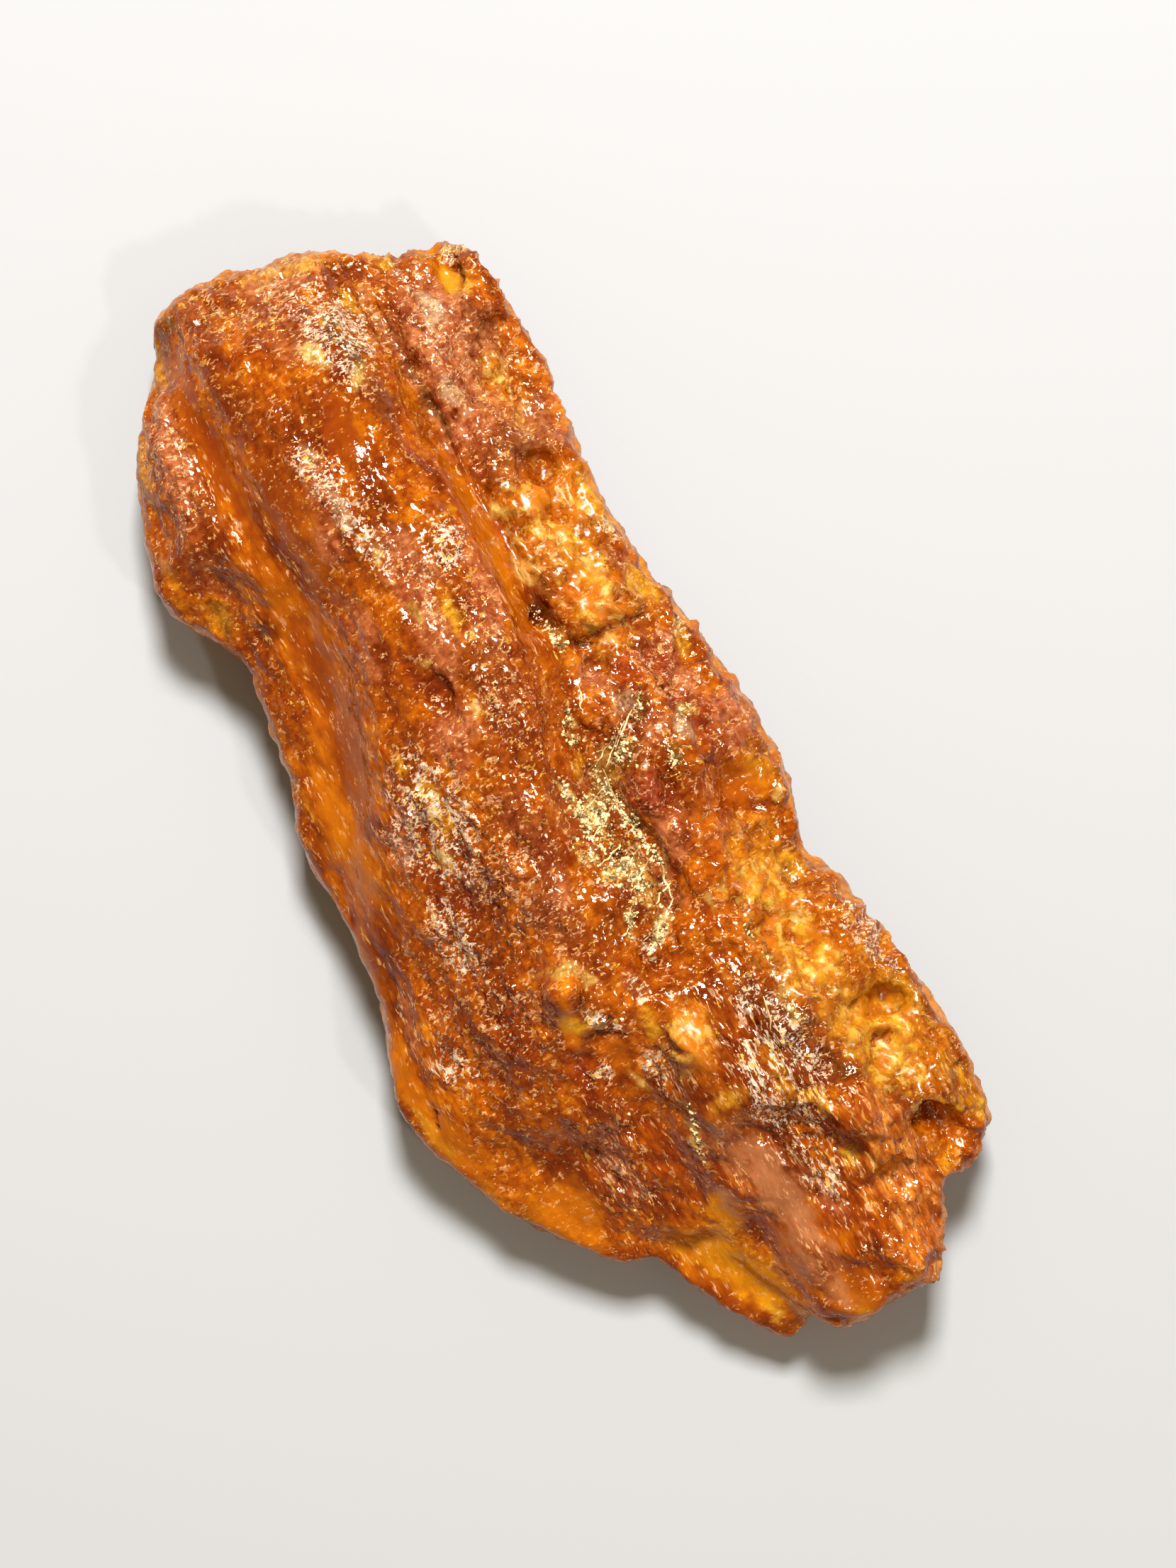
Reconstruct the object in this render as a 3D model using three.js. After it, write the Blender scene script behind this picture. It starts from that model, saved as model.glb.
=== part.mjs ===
// Raw copal: one lump of fossil tree resin lying on its flattest side.
// Millimetres. +X runs along the lump, +Y points to its pitted flank, +Z is up.
// The origin is at the middle of the lump, on the surface that it rests on.
//
// The lump starts as a finely divided box. Its plan is stretched over a four-sided
// patch between the lump's four edges, its top follows cross-sections along the
// length, and named ledges, furrows, lumps, pits and chips are worked into that top.
import * as THREE from 'three';
import { ImprovedNoise } from 'three/addons/math/ImprovedNoise.js';

// Driving dimensions
const LENGTH = 71;
const WIDTH = 30;
const THICKNESS = 14;
const UNDERSIDE_LIFT = 1.9;
const REST_SHARE = 0.52;
const THINNEST = 1.2;

// Every place below is drawn on a lump of this length and width, and the finished
// lump is stretched from there to LENGTH and WIDTH
const DRAWN = { length: 71, width: 30 };

// Divisions of the box along, across and up the lump
const DIVISIONS = { along: 55, across: 34, up: 5 };

// How much of the plan the lump fills at its lower edge, its widest level and its upper edge
const LOWER_FILL = 0.91;
const UPPER_FILL = 0.985;
const WIDEST_LEVEL = 0.55;

// The four edges of the plan, in millimetres from its middle
const THIN_EDGE = [
  [-34.8, -4.7], [-32.4, -5.8], [-29.5, -8.5], [-26.4, -10.5], [-22.9, -11.5], [-20.9, -12.4],
  [-18.6, -11.5], [-15.6, -9.8], [-11.8, -10.2], [-7.2, -11.2], [-3.9, -12.4], [1.0, -12.2],
  [6.0, -12.9], [11.5, -15.0], [16.2, -13.9], [20.6, -12.2], [23.6, -9.8], [25.9, -8.3],
  [26.2, -6.5], [28.5, -5.6], [31.8, -3.9], [34.7, -2.0],
];
const PITTED_EDGE = [
  [-29.9, 13.3], [-26.2, 13.8], [-20.0, 13.7], [-15.8, 13.1], [-12.5, 12.7], [-8.0, 13.1],
  [-3.7, 13.8], [1.0, 14.2], [6.2, 13.9], [8.8, 13.0], [10.3, 12.6], [12.8, 13.7],
  [17.5, 14.5], [23.3, 15.0], [26.8, 14.7], [29.0, 14.6],
];
const BLUNT_END = [
  [-34.8, -4.7], [-35.4, -3.0], [-35.4, 0.2], [-34.7, 2.1], [-34.0, 5.0], [-32.0, 8.3],
  [-30.8, 11.4], [-29.9, 13.3],
];
const LOBED_END = [
  [34.7, -2.0], [34.0, 0.0], [35.4, 1.2], [35.3, 4.4], [35.2, 7.4], [32.7, 9.1],
  [30.8, 10.3], [30.6, 12.2], [29.0, 14.6],
];

// Height of the top along each cross-section, as shares of THICKNESS, read from the
// thin edge to the pitted edge. ALONG and ACROSS are the shares of length and width.
const ALONG = [0, 0.08, 0.2, 0.35, 0.5, 0.65, 0.8, 0.92, 1];
const ACROSS = [0, 0.12, 0.28, 0.42, 0.56, 0.7, 0.85, 1];
const CROSS_SECTIONS = [
  [0.40, 0.50, 0.58, 0.61, 0.60, 0.55, 0.52, 0.46],
  [0.40, 0.58, 0.72, 0.80, 0.77, 0.66, 0.62, 0.52],
  [0.42, 0.60, 0.76, 0.88, 0.84, 0.72, 0.68, 0.54],
  [0.42, 0.62, 0.78, 0.92, 0.90, 0.77, 0.72, 0.54],
  [0.42, 0.62, 0.82, 0.94, 0.91, 0.79, 0.75, 0.54],
  [0.40, 0.57, 0.76, 0.88, 0.87, 0.81, 0.74, 0.54],
  [0.36, 0.48, 0.61, 0.73, 0.81, 0.82, 0.73, 0.55],
  [0.33, 0.42, 0.52, 0.63, 0.70, 0.72, 0.63, 0.51],
  [0.30, 0.37, 0.43, 0.48, 0.51, 0.52, 0.48, 0.45],
];

// Ledges: the top drops by drop mm to the left of each path
const LEDGES = [
  // lip of the smooth lobe above the pitted flank
  { path: [[-33, 7.0], [-28.5, 6.5], [-24.5, 6.4], [-20.5, 5.9], [-16.5, 6.4], [-10.7, 5.8],
    [-6.5, 4.8], [-2.5, 3.2], [1.5, 1.6]], drop: 1.1, slope: 0.9, reach: 6.5 },
  // thin golden shelf below the smooth facet of the lobed end
  { path: [[35, -0.2], [31.3, 0.4], [26.0, 0.0], [22.8, -1.3], [18.8, -0.3]],
    drop: 1.7, slope: 2.0, reach: 8 },
  // scarp that parts the glittering upper face from the smooth lower one
  { path: [[-0.7, -10.4], [-3.7, -7.9], [-5.2, -6.7], [-7.7, -5.5], [-10.7, -4.5]],
    drop: 0.9, slope: 1.4, reach: 6 },
];

// Furrows: a rounded channel along each path
const FURROWS = [
  // crease at the foot of the lip
  { path: [[-32.7, 7.2], [-28.7, 6.9], [-24.5, 7.0], [-20.5, 6.6], [-13.7, 6.6], [-8.9, 6.3]],
    half: 1.0, depth: 0.9 },
  // crevice that holds the dust
  { path: [[-1.2, 5.2], [1.8, 4.9], [4.9, 4.8], [7.3, 5.2], [9.3, 4.0], [10.2, 2.6]],
    half: 1.9, depth: 1.4 },
  // smooth valley along the lower face
  { path: [[-32.7, -4.8], [-27.0, -5.4], [-21.7, -5.0], [-16.0, -5.6], [-10.0, -7.0],
    [-4.5, -9.0]], half: 2.4, depth: 1.0 },
  // smooth valley beside the grainy lump
  { path: [[12.3, 5.0], [12.1, 3.3], [11.6, 1.2]], half: 1.2, depth: 1.1 },
  // upright crack in the pitted flank
  { path: [[-6.0, 11.4], [-6.3, 7.6]], half: 0.8, depth: 0.9 },
];

// Lumps: at is the centre, radii its half sizes, turn its angle in degrees
const LUMPS = [
  { at: [-19.5, -0.6], radii: [5.2, 1.6], turn: 6, height: 0.7 },
  { at: [-26.0, 2.0], radii: [5.0, 2.6], turn: -4, height: 0.5 },
  { at: [-27.0, -8.2], radii: [4.6, 1.7], turn: -14, height: 0.7 },
  { at: [-20.0, -9.6], radii: [3.0, 1.8], turn: 0, height: 0.7 },
  { at: [-25.5, 9.6], radii: [3.6, 2.0], turn: 0, height: 0.7 },
  { at: [-7.8, 9.2], radii: [2.6, 2.4], turn: 0, height: 0.9 },
  { at: [-2.8, 6.4], radii: [2.6, 2.2], turn: 20, height: 0.8 },
  { at: [-0.8, 10.6], radii: [3.4, 2.2], turn: -10, height: 0.9 },
  { at: [2.6, 6.5], radii: [1.7, 1.6], turn: 0, height: 1.3 },
  { at: [8.3, 6.6], radii: [1.4, 1.2], turn: 0, height: 0.8 },
  { at: [10.3, -3.2], radii: [2.4, 2.2], turn: 0, height: 1.5 },
  { at: [15.8, 1.5], radii: [2.6, 2.1], turn: 0, height: 1.0 },
  { at: [17.5, 6.4], radii: [4.8, 2.2], turn: 10, height: 0.8 },
  { at: [16.0, 13.0], radii: [4.5, 1.2], turn: 6, height: 0.9 },
  { at: [26.0, 7.8], radii: [6.0, 1.2], turn: -4, height: 0.5 },
  { at: [33.6, 6.2], radii: [1.9, 1.5], turn: 0, height: 0.9 },
  { at: [34.2, 3.2], radii: [1.6, 1.2], turn: 0, height: 0.8 },
  { at: [33.6, 1.3], radii: [1.8, 0.9], turn: 0, height: 0.6 },
  { at: [2.0, -3.4], radii: [4.5, 2.6], turn: 20, height: 0.5 },
];

// Pits: written like the lumps, but sunk
const PITS = [
  { at: [-28.4, 11.6], radii: [2.0, 1.3], turn: 0, depth: 1.0 },
  { at: [-20.8, 11.2], radii: [1.6, 1.1], turn: 0, depth: 0.7 },
  { at: [-16.2, 10.6], radii: [1.7, 2.0], turn: 0, depth: 1.1 },
  { at: [-12.8, 9.6], radii: [2.6, 2.6], turn: 0, depth: 0.9 },
  { at: [-8.9, 6.3], radii: [1.3, 1.3], turn: 0, depth: 0.9 },
  { at: [-7.7, -0.8], radii: [2.4, 1.8], turn: 0, depth: 0.7 },
  { at: [6.2, 10.8], radii: [3.6, 3.3], turn: 0, depth: 2.0 },
  { at: [13.8, 9.6], radii: [4.4, 2.2], turn: 4, depth: 1.1 },
  { at: [19.8, 12.0], radii: [1.5, 2.2], turn: 0, depth: 1.7 },
  { at: [22.0, 11.0], radii: [1.5, 1.3], turn: 0, depth: 1.1 },
  { at: [27.6, 11.2], radii: [2.6, 2.6], turn: 0, depth: 1.8 },
  { at: [14.4, -2.6], radii: [2.4, 1.6], turn: 0, depth: 0.8 },
  { at: [19.5, -2.7], radii: [3.8, 1.7], turn: -8, depth: 0.7 },
];

// Chips: flat breaks with a steep rim. Each keeps the top under a plane through at, at that level,
// which falls by fall mm in every mm along heading, out to radius mm
const CHIPS = [
  // honey-coloured facet on the thin edge
  { at: [22.2, -9.8], level: 5.4, fall: 0.36, heading: -52, radius: 5.0 },
  // chipped corner of the lower lobe
  { at: [-18.2, -9.8], level: 6.2, fall: 0.5, heading: -75, radius: 2.2 },
  // breaks across the blunt end
  { at: [-31.5, 1.5], level: 8.6, fall: 0.8, heading: 172, radius: 4.4 },
  { at: [-30.0, 9.0], level: 6.6, fall: 0.6, heading: 140, radius: 3.6 },
  // smooth facet of the lobed end
  { at: [26.5, 2.4], level: 8.9, fall: 0.3, heading: -32, radius: 4.4 },
  // breaks along the pitted edge
  { at: [-22.0, 12.0], level: 6.9, fall: 0.45, heading: 100, radius: 3.0 },
  { at: [-3.0, 12.2], level: 8.3, fall: 0.7, heading: 95, radius: 3.0 },
  { at: [9.6, 12.0], level: 6.8, fall: 0.5, heading: 84, radius: 2.0 },
  { at: [30.5, 8.2], level: 8.0, fall: 0.5, heading: 60, radius: 2.6 },
  // breaks on the lower face
  { at: [1.5, -6.5], level: 11.0, fall: 0.5, heading: -80, radius: 3.6 },
  { at: [12.5, -11.5], level: 7.4, fall: 0.45, heading: -60, radius: 3.2 },
];
const CHIP_RIM_SLOPE = 1.5;

// Shallow hollows of the underside, which leave the resting face flat between them
const HOLLOWS = [
  { at: [-22.0, 4.5], radii: [5.0, 3.4], turn: 20, depth: 1.1 },
  { at: [19.0, -7.5], radii: [5.5, 3.6], turn: -15, depth: 1.0 },
  { at: [24.0, 6.0], radii: [4.6, 3.2], turn: 10, depth: 0.9 },
  { at: [-11.0, -8.5], radii: [4.4, 2.6], turn: 0, depth: 0.8 },
];

// Weathering: shallow waves of the skin, strongest on the pitted flank, and dents in
// the lower part of the sides, as a share of the plan
const WAVE_LENGTH = 3.4;
const SMOOTH_WAVE = 0.25;
const PITTED_WAVE = 0.5;
const FLANK_START = 4.5;
const DENT_LENGTH = 5.5;
const DENT_SHARE = 0.07;

const { clamp, degToRad, lerp, smoothstep } = THREE.MathUtils;
const noise = new ImprovedNoise();

function edgeCurve(points) {
  return new THREE.SplineCurve(points.map(([x, y]) => new THREE.Vector2(x, y)));
}

const plan = {
  thin: edgeCurve(THIN_EDGE),
  pitted: edgeCurve(PITTED_EDGE),
  blunt: edgeCurve(BLUNT_END),
  lobed: edgeCurve(LOBED_END),
};

// Point of the four-sided patch at the shares s along and t across
function planPoint(s, t) {
  const across = plan.thin.getPointAt(s).lerp(plan.pitted.getPointAt(s), t);
  const along = plan.blunt.getPointAt(t).lerp(plan.lobed.getPointAt(t), s);
  const thinCorners = plan.thin.getPointAt(0).lerp(plan.thin.getPointAt(1), s);
  const pittedCorners = plan.pitted.getPointAt(0).lerp(plan.pitted.getPointAt(1), s);
  return across.add(along).sub(thinCorners.lerp(pittedCorners, t));
}

// Smooth curve through heights that stand at uneven stations
function heightAt(stations, heights, share) {
  let i = 0;
  while (i < stations.length - 2 && share > stations[i + 1]) {
    i += 1;
  }
  const blend = clamp((share - stations[i]) / (stations[i + 1] - stations[i]), 0, 1);
  const before = heights[Math.max(i - 1, 0)];
  const after = heights[Math.min(i + 2, heights.length - 1)];
  const rise = (heights[i + 1] - before) / 2;
  const fall = (after - heights[i]) / 2;
  const b2 = blend * blend;
  const b3 = b2 * blend;
  return heights[i] * (2 * b3 - 3 * b2 + 1) + rise * (b3 - 2 * b2 + blend)
    + heights[i + 1] * (3 * b2 - 2 * b3) + fall * (b3 - b2);
}

// How far a point is from a path, and how far to the left of its nearest stretch
function nearestOnPath(path, x, y) {
  let best = { distance: Infinity, left: 0 };
  for (let i = 0; i < path.length - 1; i += 1) {
    const [ax, ay] = path[i];
    const [bx, by] = path[i + 1];
    const [dx, dy] = [bx - ax, by - ay];
    const t = clamp(((x - ax) * dx + (y - ay) * dy) / (dx * dx + dy * dy), 0, 1);
    const distance = Math.hypot(x - ax - t * dx, y - ay - t * dy);
    if (distance < best.distance) {
      best = { distance, left: (dx * (y - ay) - dy * (x - ax)) / Math.hypot(dx, dy) };
    }
  }
  return best;
}

// 1 at the centre of an oval, falling smoothly to 0 at its rim
function oval({ at, radii, turn }, x, y) {
  const c = Math.cos(degToRad(turn));
  const s = Math.sin(degToRad(turn));
  const [dx, dy] = [x - at[0], y - at[1]];
  const r = Math.hypot((c * dx + s * dy) / radii[0], (c * dy - s * dx) / radii[1]);
  return 1 - smoothstep(r, 0, 1);
}

// Height of the top at a point of the plan, with every ledge, furrow, lump, pit and chip
function topHeight(s, t, x, y) {
  const sections = CROSS_SECTIONS.map((heights) => heightAt(ACROSS, heights, t));
  let z = THICKNESS * heightAt(ALONG, sections, s);
  for (const { path, drop, slope, reach } of LEDGES) {
    const { distance, left } = nearestOnPath(path, x, y);
    const fade = 1 - smoothstep(distance, reach * 0.3, reach);
    z -= drop * fade * (smoothstep(left, -slope / 2, slope / 2) - 0.5);
  }
  for (const { path, half, depth } of FURROWS) {
    z -= depth * (1 - smoothstep(nearestOnPath(path, x, y).distance, 0, half));
  }
  for (const lump of LUMPS) {
    z += lump.height * oval(lump, x, y);
  }
  for (const pit of PITS) {
    z -= pit.depth * oval(pit, x, y);
  }
  for (const { at, level, fall, heading, radius } of CHIPS) {
    const [dx, dy] = [x - at[0], y - at[1]];
    const angle = degToRad(heading);
    const run = dx * Math.cos(angle) + dy * Math.sin(angle);
    const beyond = Math.max(0, Math.hypot(dx, dy) - radius);
    z = Math.min(z, level - fall * run + CHIP_RIM_SLOPE * beyond);
  }
  return z;
}

// Height of the underside: flat in the middle, lifted towards the edges, with hollows
function undersideHeight(s, t, x, y) {
  const out = Math.hypot(2 * s - 1, 2 * t - 1);
  let z = UNDERSIDE_LIFT * smoothstep(out, REST_SHARE, 1.15);
  for (const hollow of HOLLOWS) {
    z += hollow.depth * oval(hollow, x, y);
  }
  return z;
}

// How much of the plan is filled at a level between the underside (0) and the top (1)
function fillAt(level) {
  if (level < WIDEST_LEVEL) {
    return lerp(LOWER_FILL, 1, Math.sin((Math.PI / 2) * (level / WIDEST_LEVEL)));
  }
  const above = (level - WIDEST_LEVEL) / (1 - WIDEST_LEVEL);
  return lerp(1, UPPER_FILL, 1 - Math.cos((Math.PI / 2) * above));
}

// Place of the box point with shares s, t and level in the finished lump
function lumpPoint(s, t, level) {
  const below = Math.min(level / WIDEST_LEVEL, 1);
  const dentAlong = s * DRAWN.length / DENT_LENGTH;
  const dentAcross = t * DRAWN.width / DENT_LENGTH;
  const dent = Math.max(0, noise.noise(dentAlong, dentAcross, 2 * level));
  const fill = fillAt(level) - DENT_SHARE * dent * Math.sin(Math.PI * below);
  const inner = (share, amount) => 0.5 + (share - 0.5) * amount;
  const here = planPoint(inner(s, fill), inner(t, fill));
  const upper = planPoint(inner(s, UPPER_FILL), inner(t, UPPER_FILL));
  const lower = planPoint(inner(s, LOWER_FILL), inner(t, LOWER_FILL));
  const pitted = smoothstep(upper.y, FLANK_START - 2, FLANK_START + 2);
  const wave = lerp(SMOOTH_WAVE, PITTED_WAVE, pitted);
  const rough = noise.noise(upper.x / WAVE_LENGTH, upper.y / WAVE_LENGTH, 0.5);
  const top = topHeight(s, t, upper.x, upper.y) + 2 * wave * rough;
  const bottom = undersideHeight(s, t, lower.x, lower.y);
  const z = lerp(bottom, Math.max(top, bottom + THINNEST), level);
  return new THREE.Vector3(here.x, here.y, z);
}

function lumpGeometry() {
  const { along, across, up } = DIVISIONS;
  const geometry = new THREE.BoxGeometry(1, 1, 1, along, across, up);
  const position = geometry.attributes.position;
  for (let i = 0; i < position.count; i += 1) {
    const share = new THREE.Vector3().fromBufferAttribute(position, i).addScalar(0.5);
    const place = lumpPoint(share.x, share.y, share.z);
    position.setXYZ(i, place.x, place.y, place.z);
  }
  geometry.scale(LENGTH / DRAWN.length, WIDTH / DRAWN.width, 1);
  geometry.computeVertexNormals();
  return geometry;
}

const copalResin = new THREE.MeshStandardMaterial({
  color: 0xb85a12,
  roughness: 0.32,
  metalness: 0,
});

const lump = new THREE.Mesh(lumpGeometry(), copalResin);
lump.name = 'raw_copal';

const part = new THREE.Group();
part.add(lump);

export default part;
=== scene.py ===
# %% [markdown]
# # A lump of raw copal
# Copal is tree resin that has hardened in the ground but isn't yet amber. This lump
# lies on its flattest side. Light gets into it, so it glows golden where it is thin and
# turns red-brown where it is thick. Its skin is weathered: smooth and glossy on one
# flank, eaten into little cells on the other, with soil caught in a crevice.
#
# The lesson goes from the solid to a fine mesh, then to its relief, its colours, the
# resin material, the dust and rootlets in the crevice, and last to light and camera.

import math

import bmesh
import bpy
import numpy as np
from mathutils import Matrix, Vector
from mathutils.bvhtree import BVHTree


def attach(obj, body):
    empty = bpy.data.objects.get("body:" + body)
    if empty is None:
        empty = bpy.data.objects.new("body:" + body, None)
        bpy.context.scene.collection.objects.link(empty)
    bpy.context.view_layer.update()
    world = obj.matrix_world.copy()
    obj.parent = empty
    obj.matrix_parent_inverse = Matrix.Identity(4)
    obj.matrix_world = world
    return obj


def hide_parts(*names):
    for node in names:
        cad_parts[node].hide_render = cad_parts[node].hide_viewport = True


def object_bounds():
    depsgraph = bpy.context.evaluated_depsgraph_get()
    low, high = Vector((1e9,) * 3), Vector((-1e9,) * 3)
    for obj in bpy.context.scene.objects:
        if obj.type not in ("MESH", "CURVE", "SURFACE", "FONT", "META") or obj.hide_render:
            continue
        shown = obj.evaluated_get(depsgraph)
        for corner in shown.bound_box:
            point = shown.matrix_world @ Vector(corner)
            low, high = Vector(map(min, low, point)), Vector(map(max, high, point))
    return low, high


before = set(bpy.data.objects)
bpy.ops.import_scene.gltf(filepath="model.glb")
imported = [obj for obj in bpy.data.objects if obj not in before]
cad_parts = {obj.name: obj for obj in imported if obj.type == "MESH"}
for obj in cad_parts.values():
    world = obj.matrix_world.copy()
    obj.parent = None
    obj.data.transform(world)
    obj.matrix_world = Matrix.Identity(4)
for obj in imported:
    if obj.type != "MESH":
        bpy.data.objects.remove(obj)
cad_low, cad_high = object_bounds()
MM = 0.001
lump_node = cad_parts["raw_copal"]
print("lump box, mm:", [round(v / MM, 1) for v in (cad_high - cad_low)])

# %% [markdown]
# ## A fine mesh from the solid
# The solid has a vertex about every millimetre, which is enough to weigh and rest it but
# not to show its skin. One way would be to sculpt a new stone from nothing. It is better
# to start from the solid itself, so that the lump keeps its exact size: its triangles
# are paired into four-sided faces, and a subdivision surface splits each into sixteen.

# %% Weld, pair and subdivide
FINE_LEVELS = 2
WELD_WITHIN = 0.002 * MM
PAIR_WITHIN = math.radians(60)


def fine_copy(node, name, levels):
    """A smooth, finely divided copy of a solid, as a new object."""
    mesh = node.data.copy()
    grid = bmesh.new()
    grid.from_mesh(mesh)
    bmesh.ops.remove_doubles(grid, verts=grid.verts, dist=WELD_WITHIN)
    bmesh.ops.join_triangles(
        grid, faces=grid.faces, angle_face_threshold=PAIR_WITHIN,
        angle_shape_threshold=PAIR_WITHIN,
    )
    grid.to_mesh(mesh)
    grid.free()
    rough = bpy.data.objects.new(name + "_rough", mesh)
    bpy.context.scene.collection.objects.link(rough)
    subdivide = rough.modifiers.new("subdivide", "SUBSURF")
    subdivide.levels = levels
    subdivide.render_levels = levels
    bpy.context.view_layer.update()
    seen = rough.evaluated_get(bpy.context.evaluated_depsgraph_get())
    fine = bpy.data.objects.new(name, bpy.data.meshes.new_from_object(seen))
    fine.data.name = name
    bpy.context.scene.collection.objects.link(fine)
    bpy.data.objects.remove(rough)
    bpy.data.meshes.remove(mesh)
    fine.data.materials.clear()
    fine.data.polygons.foreach_set("use_smooth", [True] * len(fine.data.polygons))
    return fine


resin = fine_copy(lump_node, "copal_resin", FINE_LEVELS)
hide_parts("raw_copal")
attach(resin, "root")
print("fine mesh:", len(resin.data.vertices), "vertices,", len(resin.data.polygons), "faces")

# %% [markdown]
# ## Tools for carving in numbers
# Every vertex can be moved by a formula. Three small tools do most of it: rolling waves
# (gradient noise), cells (each point asks how far its nearest seed is, and the second
# nearest), and soft ovals that say where on the lump a feature is.

# %% Waves and cells
LATTICE = 256
WAVE_GAIN = 1.7
FAR_OFF = 99.0
shuffle = np.random.RandomState(7).permutation(LATTICE)
shuffle = np.concatenate([shuffle, shuffle, shuffle])
slopes = np.random.RandomState(11).normal(size=(LATTICE, 3))
slopes /= np.linalg.norm(slopes, axis=1)[:, None]
seeds = np.random.RandomState(13).uniform(0, 1, size=(LATTICE, 3))


def lattice_number(i, j, k):
    return shuffle[shuffle[shuffle[i % LATTICE] + j % LATTICE] + k % LATTICE]


def waves(at, size, shift=0.0):
    """Smooth rolling noise from about -1 to 1, with crests about size apart."""
    p = at / size + shift
    base = np.floor(p).astype(int)
    f = p - base
    blend = f * f * f * (f * (f * 6 - 15) + 10)
    total = np.zeros(len(p))
    for corner in np.ndindex(2, 2, 2):
        g = slopes[lattice_number(*(base + corner).T)]
        reach = np.where(np.array(corner) == 1, blend, 1 - blend).prod(axis=1)
        total += reach * ((f - corner) * g).sum(axis=1)
    return total * WAVE_GAIN


def cells(at, size, shift=0.0):
    """Distance to the nearest and second nearest seed, in cell sizes, and the cell's number."""
    p = at / size + shift
    base = np.floor(p).astype(int)
    first = np.full(len(p), FAR_OFF)
    second = first.copy()
    number = np.zeros(len(p), dtype=int)
    for step in np.ndindex(3, 3, 3):
        home = base + np.array(step) - 1
        n = lattice_number(*home.T)
        distance = np.linalg.norm(home + seeds[n] - p, axis=1)
        nearer = distance < first
        second = np.where(nearer, first, np.minimum(second, distance))
        number = np.where(nearer, n, number)
        first = np.where(nearer, distance, first)
    return first, second, number


# %% Ovals, paths and points
def smooth(value, low, high):
    t = np.clip((value - low) / (high - low), 0, 1)
    return t * t * (3 - 2 * t)


def oval(x, y, place, soft):
    """1 inside an oval (x, y, half length, half width and perhaps turn), 0 past its rim."""
    cx, cy, half_x, half_y = place[:4]
    turn = math.radians(sum(place[4:]))
    c, s = math.cos(turn), math.sin(turn)
    dx, dy = x - cx, y - cy
    r = np.hypot((c * dx + s * dy) / half_x, (c * dy - s * dx) / half_y)
    return 1 - smooth(r, 1 - soft, 1 + soft * 0.5)


def ovals(x, y, places, soft=0.8):
    """The strongest of several ovals at each point."""
    return np.max([oval(x, y, place, soft) for place in places], axis=0)


def path_distance(x, y, points):
    """Distance of each point to a path."""
    best = np.full(len(x), FAR_OFF)
    for (ax, ay), (bx, by) in zip(points, points[1:]):
        dx, dy = bx - ax, by - ay
        t = np.clip(((x - ax) * dx + (y - ay) * dy) / (dx * dx + dy * dy), 0, 1)
        best = np.minimum(best, np.hypot(x - ax - t * dx, y - ay - t * dy))
    return best


def read_points(mesh):
    """Vertex places and normals in millimetres, as two tables."""
    count = len(mesh.vertices)
    at = np.empty(count * 3)
    mesh.vertices.foreach_get("co", at)
    out = np.empty(count * 3)
    mesh.vertices.foreach_get("normal", out)
    return at.reshape(-1, 3) / MM, out.reshape(-1, 3)


def write_points(mesh, at):
    mesh.vertices.foreach_set("co", (at * MM).ravel())
    mesh.update()


print("tools ready")

# %% [markdown]
# ## Where each kind of skin is
# A weathered lump isn't the same all over. Its zones are drawn once, as lists of ovals,
# and are used twice: to carve the relief and to choose how dull or bright the skin is.
# Their rims are bent by waves, so no oval shows. Places are millimetres from a point
# near the middle of the lump, with X along it.

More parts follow.
